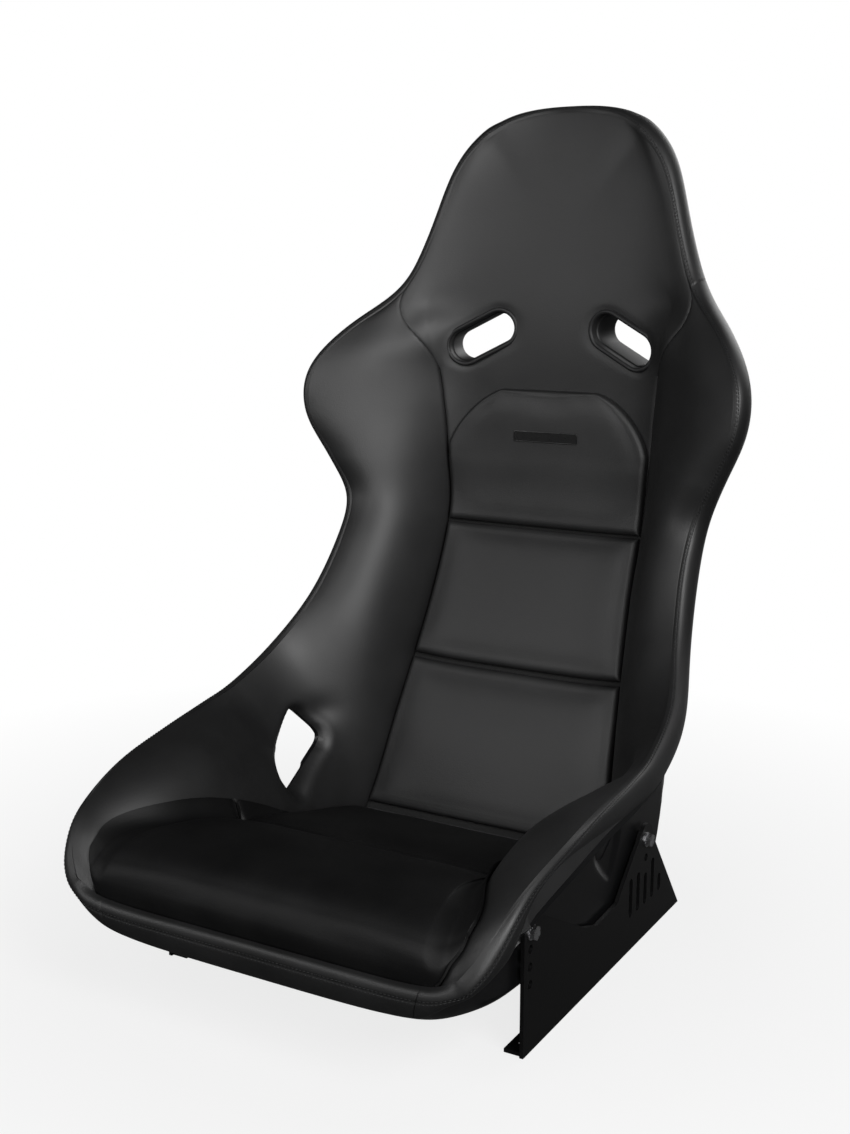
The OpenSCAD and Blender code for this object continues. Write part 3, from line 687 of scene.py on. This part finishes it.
# ---- Leather bolsters ------------------------------------------------------------------
# Each side is one run of foam under smooth black leather, from the thigh up to the
# shoulder wing.  The leather is drawn into a seam along both edges and rolled into the
# lap-belt opening.
def leather(name, dark, light, rough, shine=0.5):
    """Smooth dyed leather: a fine pebbled grain over soft creases, a little worn in tone."""
    material, shader = node_material(name, Specular_IOR_Level=shine)
    cells, pores = texture(shader, "TexVoronoi", Scale=950), noise(shader, 420, 3)
    grain = new_math(shader.id_data, "MULTIPLY_ADD")
    grain.inputs[1].default_value = 0.6
    wire(cells, "Distance", grain, 0)
    wire(pores, "Fac", grain, 2)
    bumped(shader, grain, 0.16, 0.0005)
    broad = noise(shader, 14, 3)
    toned(shader, broad, dark, light, 0.3, 0.7)
    roughened(shader, broad, rough - 0.03, rough + 0.03, From_Min=0.25, From_Max=0.75)
    return material


BLACK = (0.0025, 0.0025, 0.0026), (0.005, 0.005, 0.0052)
hide = leather("black_leather", *BLACK, 0.52)
FIT = 0.3


def edge_distances(g):
    """Distances along a grid from its first and last row, and its first and last column."""
    along = np.cumsum(np.linalg.norm(np.diff(g, axis=0, prepend=g[:1]), axis=-1), axis=0)
    across = np.cumsum(np.linalg.norm(np.diff(g, axis=1, prepend=g[:, :1]), axis=-1), axis=1)
    return along, along[-1:] - along, across, across[:, -1:] - across


def swell(d, width):
    """0 at an edge, rising like a quarter round to 1 at width."""
    t = np.clip(1 - d / width, 0, 1)
    return np.sqrt(np.maximum(0, 1 - t * t))


def tuck(d, depth, width):
    """How far leather is drawn in at distance d from a seam."""
    return depth * (1 - swell(d, width))


def waves(p, length, seed):
    """Soft random unevenness between -1 and 1, over about that length."""
    rng = np.random.default_rng(seed)
    count, total = 9, 0
    for _ in range(count):
        way = unit(rng.normal(size=3)) * 2 * pi / (length * rng.uniform(0.7, 1.6))
        total = total + np.sin(p @ way + rng.uniform(0, 2 * pi))
    return total / count ** 0.5 / 1.6


def raised(g, height):
    return g + np.asarray(height)[..., None] * normals(g)


def shell_inside(rows, columns):
    """Grid on the inside of the shell, where foam and felt are glued on."""
    return raised(shell_face(rows, columns), WALL + FIT)


def on_side(side, verts):
    """Points made for the left half, on the side named."""
    return mirrored(verts) if side.startswith("right") else verts


def folded(p):
    """Points taken over to the left half of the seat."""
    p = p.copy()
    p[..., 0] = np.abs(p[..., 0])
    return p


# The seam runs up beside the backrest, leaves it in a curve and ends on the rim.
CURVE_ROW = 12.9


def seam_row(across):
    """Row where the seam crosses a column, given as 0 at the panel and 1 at the rim."""
    return CURVE_ROW + (NECK_ROW - CURVE_ROW) * np.clip(across, 0, 1) ** 0.55


curve = np.linspace(0, 1, 90) ** 2
seam_line = np.concatenate([foam_face(np.linspace(HIP_ROW, CURVE_ROW, 160), SEAM),
                            foam_face(seam_row(curve), SEAM + (RIM - SEAM) * curve)])


def seam_distance(g):
    """Distance of a grid's points from the bolster's seam."""
    p = folded(g.reshape(-1, 3))
    parts = [np.sqrt(((some[:, None] - seam_line[None]) ** 2).sum(-1).min(1))
             for some in np.array_split(p, max(1, len(p) // 4000))]
    return np.concatenate(parts).reshape(g.shape[:-1])


# How deep the leather is drawn in at the seam, the rim and the lip, and how wide a strip
# goes down.  The hollow beside the thigh shows where the foam ends.
SEAM_TUCK, RIM_TUCK, LIP_TUCK, UNEVEN = (1.8, 5), (0.4, 2), (1.5, 6), 0.35
HOLLOW_Y, HOLLOW_H, HOLLOW_L, HOLLOW_W, HOLLOW_DEPTH = 116, 205, 22, 16, 5
BEND_ROW = 11


def bolster():
    across = (1 - np.cos(np.linspace(0, pi, 110))) / 2
    rows, across = grid(np.concatenate([np.linspace(0, 5, 70, endpoint=False),
                                        np.linspace(5, 8, 100, endpoint=False),
                                        np.linspace(8, NECK_ROW, 110)]), across)
    bend = np.clip((rows - BEND_ROW) / (NECK_ROW - BEND_ROW), 0, 1)
    rows = mix(rows, BEND_ROW + bend * (seam_row(across) - BEND_ROW), bend > 0)
    columns = SEAM + (RIM - SEAM) * across
    face = foam_face(rows, columns)
    low_end, _, inner, rim_side = edge_distances(face)
    height = (-tuck(np.minimum(seam_distance(face), inner), *SEAM_TUCK)
              - tuck(rim_side, *RIM_TUCK) - tuck(low_end, *LIP_TUCK)
              + UNEVEN * waves(face, 70, 3))
    hollow = HOLLOW_DEPTH * np.exp(-((face[..., 1] - HOLLOW_Y) / HOLLOW_L) ** 2
                                   - ((face[..., 2] - HOLLOW_H) / HOLLOW_W) ** 2)
    return slab(shell_inside(rows, columns), raised(face, height - hollow))


ROLL_R = 13


def roll_in(piece, face_verts):
    """Rolls the leather round the edge of the lap-belt opening and into it."""
    tree = KDTree(len(face_verts))
    for i, v in enumerate(face_verts):
        tree.insert(v, i)
    tree.balance()
    co = np.array([v.co for v in piece.data.vertices]) / MM
    off = belt_distance(co)
    for i in np.nonzero(np.abs(off - ROLL_R / 2) < ROLL_R / 2 + 0.1)[0]:
        x, y, z = co[i]
        if tree.find((abs(x), y, z))[2] < 2.2:
            near = ROLL_R - max(off[i], 0)
            depth = ROLL_R - (ROLL_R ** 2 - near ** 2) ** 0.5
            piece.data.vertices[i].co.x += depth * MM * (1 if x > 0 else -1)
    finish_mesh(piece, 60)


verts, faces = bolster()
near_belt = verts[len(verts) // 2:]
near_belt = near_belt[belt_distance(near_belt) < ROLL_R + 4]
for side in ("left", "right"):
    piece = obj(side + "_bolster_leather", on_side(side, verts), faces, hide)
    cut(piece, obj("c1", *belt_cutter(), hide),
        obj("c2", *bolt_holes(FLAT_X - 18, INSERT_D / 2 + FIT, 30), hide))
    roll_in(piece, near_belt)
    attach(piece, "seat")
    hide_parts(side + "_bolster")


# ---- Head part -------------------------------------------------------------------------
# One panel of leather covers the back between the shoulder wings and widens into the
# head part.  It is pressed down a little round the two harness slots.
PANEL_TUCK, PANEL_UNEVEN = (1.5, 5), 0.3
PRESS_DEPTH, PRESS_W = 1.6, 5


def slot_distance(p):
    """Distance from a slot's outline, in its own plane, for points on the left half."""
    d = p - slot_at
    u, v = turned(d @ slot_side, d[..., 2], SLOT_ANGLE)
    return np.hypot(np.maximum(np.abs(u) - (SLOT_L - SLOT_W) / 2, 0), v) - SLOT_W / 2


def pressed(face):
    """How far the leather dips round the bezels."""
    off = np.maximum(slot_distance(folded(face)) - BEZEL_W + 1, 0)
    return PRESS_DEPTH * np.exp(-(off / PRESS_W) ** 2)


def centre_panel():
    rows, columns = grid(np.linspace(PANEL_ROW, CURVE_ROW, 60),
                         SEAM * np.sin(np.linspace(-pi / 2, pi / 2, 140)))
    face = foam_face(rows, columns)
    _, _, left, right = edge_distances(face)
    return rows, columns, face, -tuck(np.minimum(left, right), *PANEL_TUCK)


def head_panel():
    up, columns = grid(np.linspace(0, 1, 110), RIM * np.sin(np.linspace(-pi / 2, pi / 2, 210)))
    start = seam_row((np.abs(columns) - SEAM) / (RIM - SEAM))
    rows = start + (LAST - start) * up
    columns = np.broadcast_to(columns, rows.shape)
    face = foam_face(rows, columns)
    _, top_end, left, right = edge_distances(face)
    return rows, columns, face, (-tuck(np.minimum(np.minimum(left, right), top_end), *RIM_TUCK)
                                 - tuck(seam_distance(face), *PANEL_TUCK))


for name, (rows, columns, face, height) in (("centre_panel_leather", centre_panel()),
                                            ("head_part_leather", head_panel())):
    height = height + PANEL_UNEVEN * waves(face, 80, 5) - pressed(face)
    head_part = obj(name, *slab(shell_inside(rows, columns), raised(face, height)), hide, 50)
    cut(head_part, obj("c1", *slot_cutter(SLEEVE_T + 0.5), hide))
    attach(head_part, "seat")
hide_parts("head_cover")


# ---- Foam of the backrest --------------------------------------------------------------
# Behind the pads the foam is covered with plain black cloth, which shows only as a dark
# line in the grooves between them.
cloth, shader = node_material("backing_cloth", Roughness=0.9, Specular_IOR_Level=0.2)
weave = noise(shader, 700)
toned(shader, weave, (0.004, 0.004, 0.004), (0.014, 0.014, 0.014))
bumped(shader, weave, 0.5, 0.0006)


def lining(name, start, stop, steps, material):
    """What fills the seat from the shell to the drawn face, between two rows."""
    rows, columns = grid(np.linspace(start, stop, steps), np.linspace(-SEAM, SEAM, 60))
    return obj(name, *slab(shell_inside(rows, columns), foam_face(rows, columns)), material)


back_foam = lining("backrest_foam", HIP_ROW, PANEL_ROW, 50, cloth)
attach(back_foam, "seat")
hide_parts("back_foam")


# ---- Felt liner ------------------------------------------------------------------------
# A mat of needled felt is glued into the pan under the loose cushion.  Two hook strips on
# it hold the cushion.
felt, shader = node_material("needled_felt", Roughness=0.95, Sheen_Weight=0.04)
fluff = noise(shader, 260, 6)
toned(shader, fluff, (0.006, 0.006, 0.0065), (0.016, 0.016, 0.017))
bumped(shader, fluff, 0.8, 0.001)
liner = lining("felt_liner", 0, HIP_ROW, 90, felt)
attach(liner, "seat")
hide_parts("pan_liner")


# ---- Backrest pads ---------------------------------------------------------------------
# Three soft leather pads fill the backrest.  The upper one has an arched top, and the
# pads are drawn down into a groove where they meet.
PAD_T, PAD_EDGE, PAD_GAP, PAD_SEAT, PAD_CROWN, PAD_PUCKER = 9, 3.5, 1.2, 0.7, 2.4, 0.15
ARCH_ROW, ARCH_HALF, ARCH_POWER = 11.2, 62, 1.45
GROOVE = 1.3 / 70
low_row, high_row, top_row, bottom_row = (row_at(z, np.linspace(6.5, 14, 6000))
                                          for z in (252, 416, 586, 84))
pad_leather = leather("pad_leather", *BLACK, 0.55)


def seam_half(s):
    """Half width of a pad that reaches to the seam, at rows s."""
    return at(SECTIONS, s)[..., SEAM_X] - PAD_GAP


def arch_half(s):
    """The same for the upper pad, which narrows to its arched top."""
    t = np.clip((s - ARCH_ROW) / (top_row - ARCH_ROW), 0, 1)
    base = seam_half(np.minimum(s, ARCH_ROW))
    return ARCH_HALF + (base - ARCH_HALF) * (1 - t ** ARCH_POWER) ** (1 / ARCH_POWER)


def resampled(g, old_rows, old_columns, rows, columns):
    """A grid of points or vectors taken over to other places along its two ways."""
    g = np.apply_along_axis(lambda v: np.interp(rows, old_rows, v), 0, g)
    return np.apply_along_axis(lambda v: np.interp(columns, old_columns, v), 1, g)


FRAMES, PRESSURE, COVER = 20, 4, (38, 46)


def filled(g, rows, columns, cap):
    """How a cover bulges over its filling: a cloth held at its edges is blown up from
    behind and comes to rest.  rows and columns are the grid's places, from 0 to 1."""
    up, across = (np.linspace(0, 1, count) for count in COVER)
    start = resampled(g, rows, columns, up, across)
    cell = np.arange(start[..., 0].size).reshape(COVER)
    mesh = bpy.data.meshes.new("cover")
    mesh.from_pydata((start.reshape(-1, 3) * MM).tolist(), [],
                     quads(cell)[:, [0, 3, 2, 1]].tolist())
    cover = bpy.data.objects.new("cover", mesh)
    collection.objects.link(cover)
    held = cover.vertex_groups.new(name="held")
    border = np.concatenate([cell[0], cell[-1], cell[:, 0], cell[:, -1]])
    held.add([int(i) for i in set(border)], 1.0, "REPLACE")
    modifier = cover.modifiers.new("cloth", "CLOTH")
    settings = modifier.settings
    settings.quality, settings.mass, settings.vertex_group_mass = 5, 0.3, "held"
    settings.use_pressure, settings.uniform_pressure_force = True, PRESSURE
    settings.effector_weights.gravity = 0
    modifier.collision_settings.use_collision = False
    modifier.point_cache.frame_end = FRAMES
    for frame_number in range(1, FRAMES + 1):
        bpy.context.scene.frame_set(frame_number)
    rest = cover.evaluated_get(bpy.context.evaluated_depsgraph_get()).data
    end = np.array([v.co for v in rest.vertices]).reshape(start.shape) / MM
    bpy.data.objects.remove(cover)
    bpy.context.scene.frame_set(1)
    move = end - start
    reach = np.maximum(np.linalg.norm(move, axis=-1, keepdims=True), 1e-6)
    move = relaxed(move * np.tanh(reach / cap) * cap / reach, 8)
    return resampled(move, up, across, rows, columns)


def backrest_pad(name, node, s0, s1, half_width, seed, edges):
    """edges: how wide the leather rolls over at the bottom, the top and the sides."""
    places = (1 - np.cos(np.linspace(0, pi, 90))) / 2
    u = np.sin(np.linspace(-pi / 2, pi / 2, 120))
    s, u = grid(s0 + (s1 - s0) * places, u)
    c = SEAM * half_width(s) / at(SECTIONS, s)[..., SEAM_X] * u
    seat = foam_face(s, c)
    bottom, top, left, right = edge_distances(seat)
    nearest = np.minimum(np.minimum(bottom, top), np.minimum(left, right))
    full = (swell(bottom, edges[0]) * swell(top, edges[1])
            * swell(left, edges[2]) * swell(right, edges[2]))
    up = np.clip(bottom / (bottom + top), 0, 1)
    crown = PAD_CROWN * np.sin(pi * up) ** 0.7 * (1 - u ** 4)
    pucker = PAD_PUCKER * waves(seat, 24, seed) * np.exp(-nearest / 10)
    upper = raised(seat, PAD_SEAT + PAD_EDGE + (PAD_T - PAD_EDGE + crown + pucker) * full)
    upper += filled(upper, places, (u[0] + 1) / 2, 3.5)
    piece = obj(name, *slab(raised(seat, PAD_SEAT), upper), pad_leather, 60)
    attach(piece, "seat")
    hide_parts(node)
    return upper


backrest_pad("lower_pad", "backrest_pad_lower", bottom_row, low_row - GROOVE, seam_half, 11,
             (12, 8, 6))
backrest_pad("middle_pad", "backrest_pad_middle", low_row + GROOVE, high_row - GROOVE,
             seam_half, 12, (8, 8, 6))
upper_pad = backrest_pad("upper_pad", "backrest_pad_upper", high_row + GROOVE, top_row,
                         arch_half, 13, (8, 7, 6))


# ---- Rim bands -------------------------------------------------------------------------
# Strips of firmer leather wrap the whole edge of the shell: one round each side, one over
# the head and one across the front lip.  Each has a seam between two rows of stitches.
rim_leather = leather("rim_leather", *BLACK, 0.5)
HALF_LOOP = 2 * RIM + LAST * 2


def loop_cell(k):
    """Row and column of place k on the edge: lip, rim, head, as in the seat's plan."""
    k = np.asarray(k, float)
    sign = np.where((k < 0) | (k > HALF_LOOP), -1.0, 1.0)
    k = np.abs(k)
    k = np.where(k > HALF_LOOP, 2 * HALF_LOOP - k, k)
    row = np.clip((k - RIM) / 2, 0, LAST)
    column = np.where(k <= RIM, k, np.where(k <= RIM + 2 * LAST, RIM, HALF_LOOP - k))
    return row, column * sign


LIP_WRAP, BAND_STEPS, BAND_ARC, BAND_SPARE = 0.75, 12, 44, 6
SEAM_GROOVE, GROOVE_W, STITCH_GAP = 0.8, 0.09, 0.1


def band_edges(k):
    """Where the band starts on the foam and ends on the shell, at places k of the edge, and
    how near they are to the lip's corners."""
    row, column = loop_cell(k)
    corner = np.exp(-((np.abs(k) - RIM - 1) / 7) ** 2)
    lower = np.clip((np.abs(k) - RIM + 3) / 5, 0, 1)
    front = ease((RIM + 3 - np.abs(k)) / 3)
    shell = shell_face(row + LIP_WRAP * front,
                       column - 0.3 * np.sign(column) * corner * lower)
    return smooth_line(foam_face(row, column), 27), smooth_line(shell, 135), corner


def band_threads(ring, seam_at, along, bulge):
    """The band's two rows of thread, and which way is out there."""
    threads = []
    for beside in (-STITCH_GAP, STITCH_GAP):
        place = (seam_at + beside) / pi * BAND_ARC
        i, part = place.astype(int), (place % 1)[:, None]
        here = np.arange(len(place))
        line = mix(ring[here, i], ring[here, i + 1], part)
        out = unit(np.cross(along, ring[here, i + 2] - ring[here, i - 1]))
        out = out * np.sign((out * bulge).sum(-1, keepdims=True))
        threads.append((line + 0.1 * out, out))
    return threads


def rim_band(k0, k1):
    """The band between places k0 and k1, an arc from the foam's edge round to the shell's,
    and its threads."""
    k = np.linspace(k0 - BAND_SPARE, k1 + BAND_SPARE,
                    int((k1 - k0 + 2 * BAND_SPARE) * BAND_STEPS) + 1)
    foam, shell, corner = band_edges(k)
    along = smooth_line(np.gradient(foam, axis=0), 5 * BAND_STEPS)
    bulge = unit(np.cross(along, foam - shell))
    keep = slice(BAND_SPARE * BAND_STEPS, len(k) - BAND_SPARE * BAND_STEPS)
    k, foam, shell, corner, along, bulge = (
        v[keep] for v in (k, foam, shell, corner, along, bulge))
    w = np.linspace(0, pi, BAND_ARC + 1)
    full = BAND_BULGE * (1 + 0.6 * corner)[:, None, None]
    ring = ((foam + shell)[:, None] / 2 + (foam - shell)[:, None] / 2 * np.cos(w)[:, None]
            + full * bulge[:, None] * np.sin(w)[:, None] ** 0.8)
    seam_at = 0.36 + 0.75 * ease((RIM + 6 - np.abs(k)) / 5)
    groove = SEAM_GROOVE * np.exp(-((w - seam_at[:, None]) / GROOVE_W) ** 2)
    groove[:, 0] += 0.5
    if k0 >= 0:
        groove[0] += 0.9
    ring -= groove[..., None] * bulge[:, None]
    under = [p[:, None] - depth * bulge[:, None]
             for p, depth in ((shell, 2), (mix(foam, shell, 0.5), 3), (foam, 2.5))]
    ring = np.concatenate([ring, *under], axis=1)
    cell = np.arange(ring[..., 0].size).reshape(ring.shape[:2])
    faces = [*quads(np.concatenate([cell, cell[:, :1]], 1)), cell[0], cell[-1][::-1]]
    return ring.reshape(-1, 3), faces, band_threads(ring, seam_at, along, bulge)


# A stitch's length, its distance to the next and the thread's radius; then how it dives
# in: place along it, thickness and height of five rings.
STITCH, STITCH_STEP, THREAD_R, THREAD_SIDES = 3.1, 4.3, 0.42, 6
STITCH_RINGS = ((-0.5, 0.5, -0.5), (-0.3, 1, 0.1), (0, 1, 0.3), (0.3, 1, 0.1), (0.5, 0.5, -0.5))


def stitches(line, out):
    """A row of stitches along a line: each a bit of thread that dives in at both ends."""
    run = run_of(line)
    mid = np.arange(STITCH_STEP, run[-1] - STITCH_STEP, STITCH_STEP)
    here, ahead = (sampled(line, run, mid + d) for d in (0, 0.5))
    way = unit(ahead - here)
    up = sampled(out, run, mid)
    up = unit(up - way * (up * way).sum(-1, keepdims=True))
    side = np.cross(way, up)
    a = np.linspace(0, 2 * pi, THREAD_SIDES, endpoint=False)
    rings = []
    for place, thick, height in STITCH_RINGS:
        centre = here + way * (place * STITCH) + up * (height * THREAD_R)
        rings.append(centre[:, None] + thick * THREAD_R * (
            np.cos(a)[None, :, None] * side[:, None] + np.sin(a)[None, :, None] * up[:, None]))
    p = np.stack(rings, 1)
    cell = np.arange(p[..., 0].size).reshape(p.shape[:-1])
    turn = np.roll(cell, -1, axis=2)
    faces = np.stack([cell[:, :-1], cell[:, 1:], turn[:, 1:], turn[:, :-1]], -1).reshape(-1, 4)
    return p.reshape(-1, 3), [*faces, *cell[:, 0, ::-1], *cell[:, -1]]


thread, shader = node_material("bonded_thread", Roughness=0.6, Specular_IOR_Level=0.3)
twist = noise(shader, 1600)
toned(shader, twist, (0.002, 0.002, 0.0022), (0.007, 0.007, 0.0073))
bumped(shader, twist, 0.4, 0.0002)

NECK_PLACE = RIM + 2 * NECK_ROW
for name, node, k0, k1 in (
        ("left_band", "left_rim_band", SEAM, NECK_PLACE),
        ("right_band", "right_rim_band", SEAM, NECK_PLACE),
        ("head_band", "head_rim_band", NECK_PLACE, 2 * HALF_LOOP - NECK_PLACE),
        ("lip_band", "front_lip_cover", -SEAM, SEAM)):
    verts, faces, seams = rim_band(k0, k1)
    piece = obj(name, on_side(name, verts), faces, rim_leather, 50)
    verts, faces = joined(*[stitches(line, out) for line, out in seams])
    sewn = obj(name.replace("band", "stitching"), on_side(name, verts), faces, thread, 60)
    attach(sewn, "seat")
    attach(piece, "seat")
    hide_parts(node)


# ---- Loose cushion ---------------------------------------------------------------------
# The seat cushion lifts out.  Its front roll holds the thighs up over the lip, and a
# cross seam parts it from the flatter rear.
CUSHION_H, CUSHION_GAP = 178, 1.5
# Row of the seat | y and z of the middle of the top | how far up the bolster it reaches.
CUSHION = np.array([
    [0.30, FRONT_Y + 9, LIP_H + 4, 0.25],
    [1.00, FRONT_Y + 5, CUSHION_H - 32, 0.58],
    [1.50, FRONT_Y + 15, CUSHION_H - 13, 0.60],
    [2.00, -258, CUSHION_H - 1, 0.61],
    [3.00, -192, CUSHION_H - 2, 0.50],
    [3.50, -140, CUSHION_H - 12, 0.43],
    [4.00, -96, CUSHION_H - 27, 0.35],
    [5.00, -12, CUSHION_H - 48, 0.22],
    [6.00, 70, CUSHION_H - 72, 0.12],
    [6.75, 128, CUSHION_H - 88, 0.05]])
WELT, WELT_GAP, WELT_DEPTH, WELT_W = 6, 0.02, 5, 9
CUSHION_FLAT, CUSHION_SIDE, CUSHION_EDGE_T = 4 / 7, 0.995, 4.0
# Painted shade: the cushion's leather is the same black leather as the bolsters, given a darker colour
# and a weaker shine so that its upturned top, which faces the backrest, looks shaded.
shaded_cushion_leather = leather("cushion_leather", (0.0012, 0.0012, 0.0013), (0.003, 0.003, 0.0031),
                       0.54, 0.18)


def cushion_part(name, node, p0, p1, seed, ends):
    """ends: how deep the leather is drawn in at the front and the rear of this part."""
    q = at(CUSHION, np.linspace(p0, p1, 80))
    u = np.sin(np.linspace(-pi / 2, pi / 2, 140))
    place, across = q[:, 0:1], np.abs(u)[None, :]
    reach = SEAM * np.minimum(1, across / CUSHION_FLAT) + (RIM - SEAM) * q[:, 3:4] * np.maximum(
        0, across - CUSHION_FLAT) / (1 - CUSHION_FLAT)
    lower = raised(foam_face(place, reach * np.sign(u)[None, :]), CUSHION_GAP * 1.3)
    edge = lower * np.array([CUSHION_SIDE, 1, 1]) + np.array([0, 0, CUSHION_EDGE_T])
    ridge = np.stack([np.zeros(len(q)), q[:, 1], q[:, 2]], 1)[:, None, :]
    upper = mix(ridge, edge, 1 - (1 - across[..., None] ** 5) ** 0.6)
    upper[..., 0] = lower[..., 0] * CUSHION_SIDE
    first, last, _, _ = edge_distances(upper)
    tucked = tuck(first, ends[0], WELT_W) + tuck(last, ends[1], WELT_W)
    upper = raised(upper, 0.5 * waves(upper, 60, seed) - tucked)
    upper += filled(upper, np.linspace(0, 1, len(q)), (u + 1) / 2, 7)
    piece = obj(name, *slab(lower, upper), shaded_cushion_leather, 60)
    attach(piece, "cushion")
    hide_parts(node)


cushion_part("cushion_roll", "cushion_front_roll", 0, WELT - WELT_GAP, 21, (0, WELT_DEPTH))
cushion_part("cushion_rear", "cushion_rear_pad", WELT + WELT_GAP, len(CUSHION) - 1, 22,
             (WELT_DEPTH, 0))


# ---- Harness slot bezels ---------------------------------------------------------------
# Each slot is lined by a moulded plastic sleeve.  Its rounded flange lies on the leather,
# and a narrow step runs round inside.  A ring behind the shell holds it.
plastic, shader = node_material("satin_plastic", Roughness=0.5, Specular_IOR_Level=0.3)
spark = noise(shader, 1400)
toned(shader, spark, (0.005, 0.005, 0.005), (0.010, 0.010, 0.0105))
bumped(shader, spark, 0.12, 0.0003)

# How far outside the slot's outline and how far off the leather.
depth = slot_back - slot_at[1] + 4
PROFILE = [(-1.6, -depth), (-1.6, -9), (-1.3, -8.3), (-0.2, -7.6), (0, -7), (0, 0.8),
           (0.5, 2.2), (1.4, 3.1), (2.6, 3.5), (3.9, 3.3), (4.9, 2.6), (5.4, 1.6),
           (BEZEL_W, 0.3), (5.0, -0.6), (3.2, -0.6), (SLEEVE_T, -1.2), (SLEEVE_T, -depth)]
rings = [in_slot(slot_outline(r)) + z * slot_out for r, z in PROFILE]
cell = np.arange(len(rings) * len(rings[0])).reshape(len(rings), -1)
faces = quads(np.pad(cell, (0, 1), mode="wrap"))[:, [0, 3, 2, 1]]
verts = np.concatenate(rings)
for side in ("left", "right"):
    piece = obj(side + "_bezel", on_side(side, verts), faces, plastic, 40)
    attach(piece, "seat")
    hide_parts(side + "_slot_bezel")
    ring = frame["nodes"][side + "_slot_ring"]
    ring.data.materials.clear()
    ring.data.materials.append(plastic)


# ---- Badge plate -----------------------------------------------------------------------
# A small lacquered plate stuck on the upper pad, with a raised edge and nothing on it.
# Its profile says how far in from the outline and how far off the pad.
BADGE_W, BADGE_H, BADGE_R, BADGE_SINK = 85, 13, 2.5, 0.3
BADGE_PROFILE = [(0, 0), (0, 1.1), (0.25, 1.5), (0.6, 1.6), (1.0, 1.5), (1.25, 1.1)]
lo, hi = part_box("badge_plate")
centre = (np.array(lo) + np.array(hi)) / 2 / MM
near = upper_pad.reshape(-1, 3)
near = near[(np.abs(near[:, 0]) < BADGE_W / 2) & (np.abs(near[:, 2] - centre[2]) < BADGE_H / 2)]
badge_back = near[:, 1].min() + BADGE_SINK
outlines = [(rounded(BADGE_W - 2 * inset, BADGE_H - 2 * inset, BADGE_R - inset, 8), z)
            for inset, z in BADGE_PROFILE]

lacquer, shader = node_material("badge_lacquer", Coat_Weight=0.6, Coat_Roughness=0.15)
haze = noise(shader, 700)
toned(shader, haze, (0.0015, 0.0015, 0.0015), (0.003, 0.003, 0.003))
roughened(shader, haze, 0.26, 0.3)

plate = obj("badge", *loft([points(p[:, 0], badge_back - z, centre[2] + p[:, 1])
                            for p, z in outlines]), lacquer, 40)
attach(plate, "seat")
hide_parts("badge_plate")


# ---- Side mounts -----------------------------------------------------------------------
# Two steel plates with a turned-in floor flange, painted satin black.  Zinc-plated bolts
# go through a column of holes at the front and an ear at the rear, into the shell.
paint, shader = node_material("mount_paint", Roughness=0.4, Specular_IOR_Level=0.2)
peel = noise(shader, 320, 3)
toned(shader, peel, (0.0015, 0.0015, 0.0015), (0.003, 0.003, 0.0032))
bumped(shader, peel, 0.15, 0.0004)

zinc, shader = node_material("zinc_plate", Metallic=1)
cloud = noise(shader, 150)
toned(shader, cloud, (0.62, 0.62, 0.64), (0.86, 0.86, 0.88))
roughened(shader, cloud, 0.2, 0.36)

EDGE_BEVEL = 0.5
for name, material in (("left_side_mount", paint), ("right_side_mount", paint),
                       ("mount_spacers", plastic), ("threaded_inserts", zinc),
                       ("mount_washers", zinc), ("mount_bolts", zinc),
                       ("cushion_grip_strips", felt)):
    node = frame["nodes"][name]
    node.data.materials.clear()
    node.data.materials.append(material)
    if name.endswith("side_mount"):
        edges = node.modifiers.new("edges", "BEVEL")
        edges.width = EDGE_BEVEL * MM
        edges.segments = 2
        edges.angle_limit = radians(50)


# ---- Bounds of the shown pieces --------------------------------------------------------
lo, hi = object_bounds()
